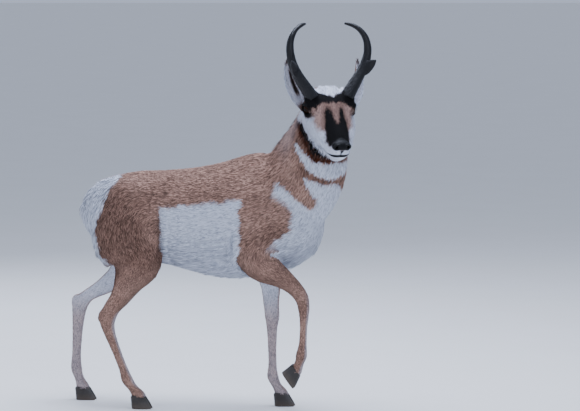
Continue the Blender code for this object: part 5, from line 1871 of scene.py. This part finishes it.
def hooves_mesh():
    """Eight claws with rounded walls, with their height stored for the growth rings."""
    whole = bmesh.new()
    heights = []
    for place in foot_frames().values():
        for side in (RIGHT, LEFT):
            claw = fine_claw(place, side)
            heights += list(points_in(place, points_of(claw))[:, 2] / HOOF_HEIGHT)
            whole.from_mesh(claw)
            bpy.data.meshes.remove(claw)
    mesh = to_mesh(whole)
    set_values(mesh, "height", heights)
    return mesh


def fine_claw(place, side):
    """One claw, wide at its heel, narrow at its toe and flat towards the other claw."""
    half_width = CLAW_WIDTH / 2
    middle = side * (CLEFT / 2 + half_width)
    loops = []
    for height, length, width, lead in smooth_rows(CLAW_ROWS, 3):
        loop = []
        for k in range(32):
            angle = math.tau * k / 32
            toe = math.cos(angle)
            y = half_width * width * math.sin(angle) * (1 - 0.38 * toe)
            y = max(y * side, -half_width * 0.96) * side
            loop.append(Vector((lead + CLAW_LENGTH / 2 * length * toe, middle + y, max(height, 0.0))))
        loops.append(loop)
    return largest_piece(to_mesh(moved(loft_points(loops), place)))


# Lashes: a node tree stands a bent hair on each point of the rows along an upper lid

LASH_LENGTH = 0.011
LASH_THICKNESS = 0.00045
LASH_TIP = 0.00004


def fringe_tree():
    """Stands a tapering hair on every point, along the direction stored there, varied by a fixed seed."""
    tree = bpy.data.node_groups.new("fringe_of_hairs", "GeometryNodeTree")
    for name, kind in (("Geometry", "Geometry"), ("Length", "Float"), ("Thickness", "Float"), ("Seed", "Int"),
                       ("Material", "Material")):
        tree.interface.new_socket(name, in_out="INPUT", socket_type="NodeSocket" + kind)
    tree.interface.new_socket("Geometry", in_out="OUTPUT", socket_type="NodeSocketGeometry")
    given = add(tree, "NodeGroupInput").outputs
    half = add(tree, "ShaderNodeMath", {0: given["Length"], 1: 0.5}, operation="MULTIPLY").outputs[0]
    hair = add(tree, "GeometryNodeMeshCone",
               {"Vertices": 5, "Side Segments": 4, "Depth": given["Length"], "Radius Top": LASH_TIP,
                "Radius Bottom": given["Thickness"]}, fill_type="NGON").outputs["Mesh"]
    place = add(tree, "GeometryNodeInputPosition").outputs[0]
    height = add(tree, "ShaderNodeSeparateXYZ", {0: place}).outputs["Z"]
    share = add(tree, "ShaderNodeMath", {0: height, 1: given["Length"]}, operation="DIVIDE").outputs[0]
    bend = add(tree, "ShaderNodeMath", {0: share, 1: 2.0}, operation="POWER").outputs[0]
    push = add(tree, "ShaderNodeMath", {0: bend, 1: half}, operation="MULTIPLY").outputs[0]
    offset = add(tree, "ShaderNodeCombineXYZ", {"X": push}).outputs[0]
    hair = add(tree, "GeometryNodeSetPosition", {"Geometry": hair, "Offset": offset}).outputs[0]
    way = add(tree, "GeometryNodeInputNamedAttribute", {"Name": "stands"},
              data_type="FLOAT_VECTOR").outputs["Attribute"]
    turn = add(tree, "FunctionNodeAlignRotationToVector", {"Vector": way}, axis="Z").outputs[0]
    size = add(tree, "FunctionNodeRandomValue", {2: 0.65, 3: 1.15, "Seed": given["Seed"]},
               data_type="FLOAT").outputs[1]
    stood = add(tree, "GeometryNodeInstanceOnPoints",
                {"Points": given["Geometry"], "Instance": hair, "Rotation": turn, "Scale": size}).outputs[0]
    real = add(tree, "GeometryNodeRealizeInstances", {"Geometry": stood}).outputs[0]
    made = add(tree, "GeometryNodeSetMaterial", {"Geometry": real, "Material": given["Material"]}).outputs[0]
    add(tree, "NodeGroupOutput", {0: made})
    return tree


def fringe(tree, points, ways, length, thickness, seed, material):
    """The mesh of hairs that the tree stands on the points."""
    mesh = bpy.data.meshes.new("fringe_roots")
    mesh.from_pydata([tuple(p) for p in points], [], [])
    set_vectors(mesh, "stands", ways)
    obj = new_object("fringe_roots", mesh)
    step = obj.modifiers.new("fringe", "NODES")
    step.node_group = tree
    named = {item.name: item.identifier for item in tree.interface.items_tree if item.in_out == "INPUT"}
    for name, value in (("Length", length), ("Thickness", thickness), ("Seed", seed), ("Material", material)):
        step[named[name]] = value
    return baked(obj)


def lash_roots(side):
    """Points and directions along the upper lid."""
    place = head_frame()
    look = eye_frame(side)[0]
    points, ways = [], []
    for share, depth in ((1.06, EYE_RADIUS + 0.0030), (1.14, EYE_RADIUS + 0.0036)):
        for point, height, over in lid_loop(side, share, depth):
            if height > 0.10:
                points.append(place @ point)
                way = look * 0.9 + over * (0.25 + 0.35 * height) + FORWARD * (0.5 * (height - 0.5))
                ways.append((place.to_3x3() @ way).normalized())
    return points, ways


# Floor, light and camera

CAMERA_DISTANCE = 12.0
CAMERA_TURN = math.radians(10.0)
CAMERA_RISE = math.radians(5.0)
CAMERA_TARGET = Vector((0.315, 0.0, 0.7057))
PIXELS_PER_METRE = 290.0
FRAME_WIDTH = 580.0
SENSOR = 36.0
# Each light's name, place, aim, size, power and colour
LIGHTS = (
    ("overhead", (0.3, 0.3, 4.2), (0, 0, 0.6), 3.0, 240.0, "#DFE8FF"),
    ("front", (1.6, -4.0, 2.6), (0, 0, 0.7), 0.9, 40.0, "#E2EAFF"),
    ("left", (-2.9, -3.7, 1.85), (0.3, 0, 0.9), 0.36, 22.0, "#F0F4FF"),
    ("behind", (-2.2, 3.4, 2.8), (0, 0, 0.9), 2.0, 80.0, "#DFE8FF"),
)


def aimed(name, data, place, aim):
    """A camera or light at a place, turned to an aim."""
    made = new_object(name, data)
    made.location = place
    made.rotation_mode = "QUATERNION"
    made.rotation_quaternion = (Vector(aim) - Vector(place)).to_track_quat("-Z", "Y")
    return made


def make_camera():
    """The photo's view: a long lens, a little ahead of square to the side and a little above."""
    level = CAMERA_DISTANCE * math.cos(CAMERA_RISE)
    away = Vector((level * math.sin(CAMERA_TURN), -level * math.cos(CAMERA_TURN),
                   CAMERA_DISTANCE * math.sin(CAMERA_RISE)))
    data = bpy.data.cameras.new("camera")
    data.sensor_width = SENSOR
    data.lens = PIXELS_PER_METRE * CAMERA_DISTANCE * SENSOR / FRAME_WIDTH
    data.clip_end = 60.0
    target = CAMERA_TARGET + SHIFT
    bpy.context.scene.camera = aimed("camera", data, target + away, target)


def make_floor():
    shape = bmesh.new()
    bmesh.ops.create_grid(shape, x_segments=8, y_segments=8, size=60.0)
    mesh = to_mesh(shape, "floor")
    mesh.materials.append(floor_material())
    new_object("floor", mesh)


def make_stage():
    """Floor, pale surroundings, and soft round lights."""
    make_floor()
    world = bpy.data.worlds.new("studio")
    world.use_nodes = True
    backdrop = world.node_tree.nodes["Background"]
    wire(world.node_tree, backdrop, {"Color": linear("#D3DFFA"), "Strength": 0.74})
    bpy.context.scene.world = world
    for name, place, aim, size, power, colour in LIGHTS:
        data = bpy.data.lights.new(name, "AREA")
        data.shape = "DISK"
        data.size = size
        data.energy = power
        data.color = linear(colour)[:3]
        aimed(name, data, place, aim)


# All pieces

FLESH = ("torso", "rump", "neck", "head", *LEGS, "tail")


def make_body(hair):
    hide = hide_mesh()
    mark_hide(hide)
    tufts = coat_meshes(hide)
    shown("hide", hide, hide_material(), FLESH)
    for mesh in tufts:
        shown(mesh.name, mesh, hair)


def make_head_gear(hair):
    tree = fringe_tree()
    lashes = lash_material()
    eye_skin = eye_material()
    horn_skin = horn_material()
    for side, name in SIDE_NAMES.items():
        shown("eyeball_" + name, eye_mesh(side), eye_skin, ["eye_" + name])
        shown("horn_sheath_" + name, horn_mesh(side), horn_skin, ["horn_" + name])
        ear, where = ear_mesh(side)
        for kind, values in ear_marks(where)._asdict().items():
            set_values(ear, kind, values)
        set_values(ear, "tip", np.full(len(where), 0.4))
        set_values(ear, "tone", np.full(len(where), 0.5))
        tufts = ear_coat(ear, where, side)
        shown("ear_leaf_" + name, ear, hair, ["ear_" + name])
        shown(tufts.name, tufts, hair)
        points, ways = lash_roots(side)
        made = fringe(tree, points, ways, LASH_LENGTH, LASH_THICKNESS, 5 + side, lashes)
        shown("lashes_" + name, made, lashes)


def make_feet():
    claws = [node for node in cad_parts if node.startswith("hoof_")]
    shown("hoof_claws", hooves_mesh(), hoof_material(), claws)


make_camera()
make_stage()
HAIR_FINISH = coat_material()
make_body(HAIR_FINISH)
make_head_gear(HAIR_FINISH)
make_feet()
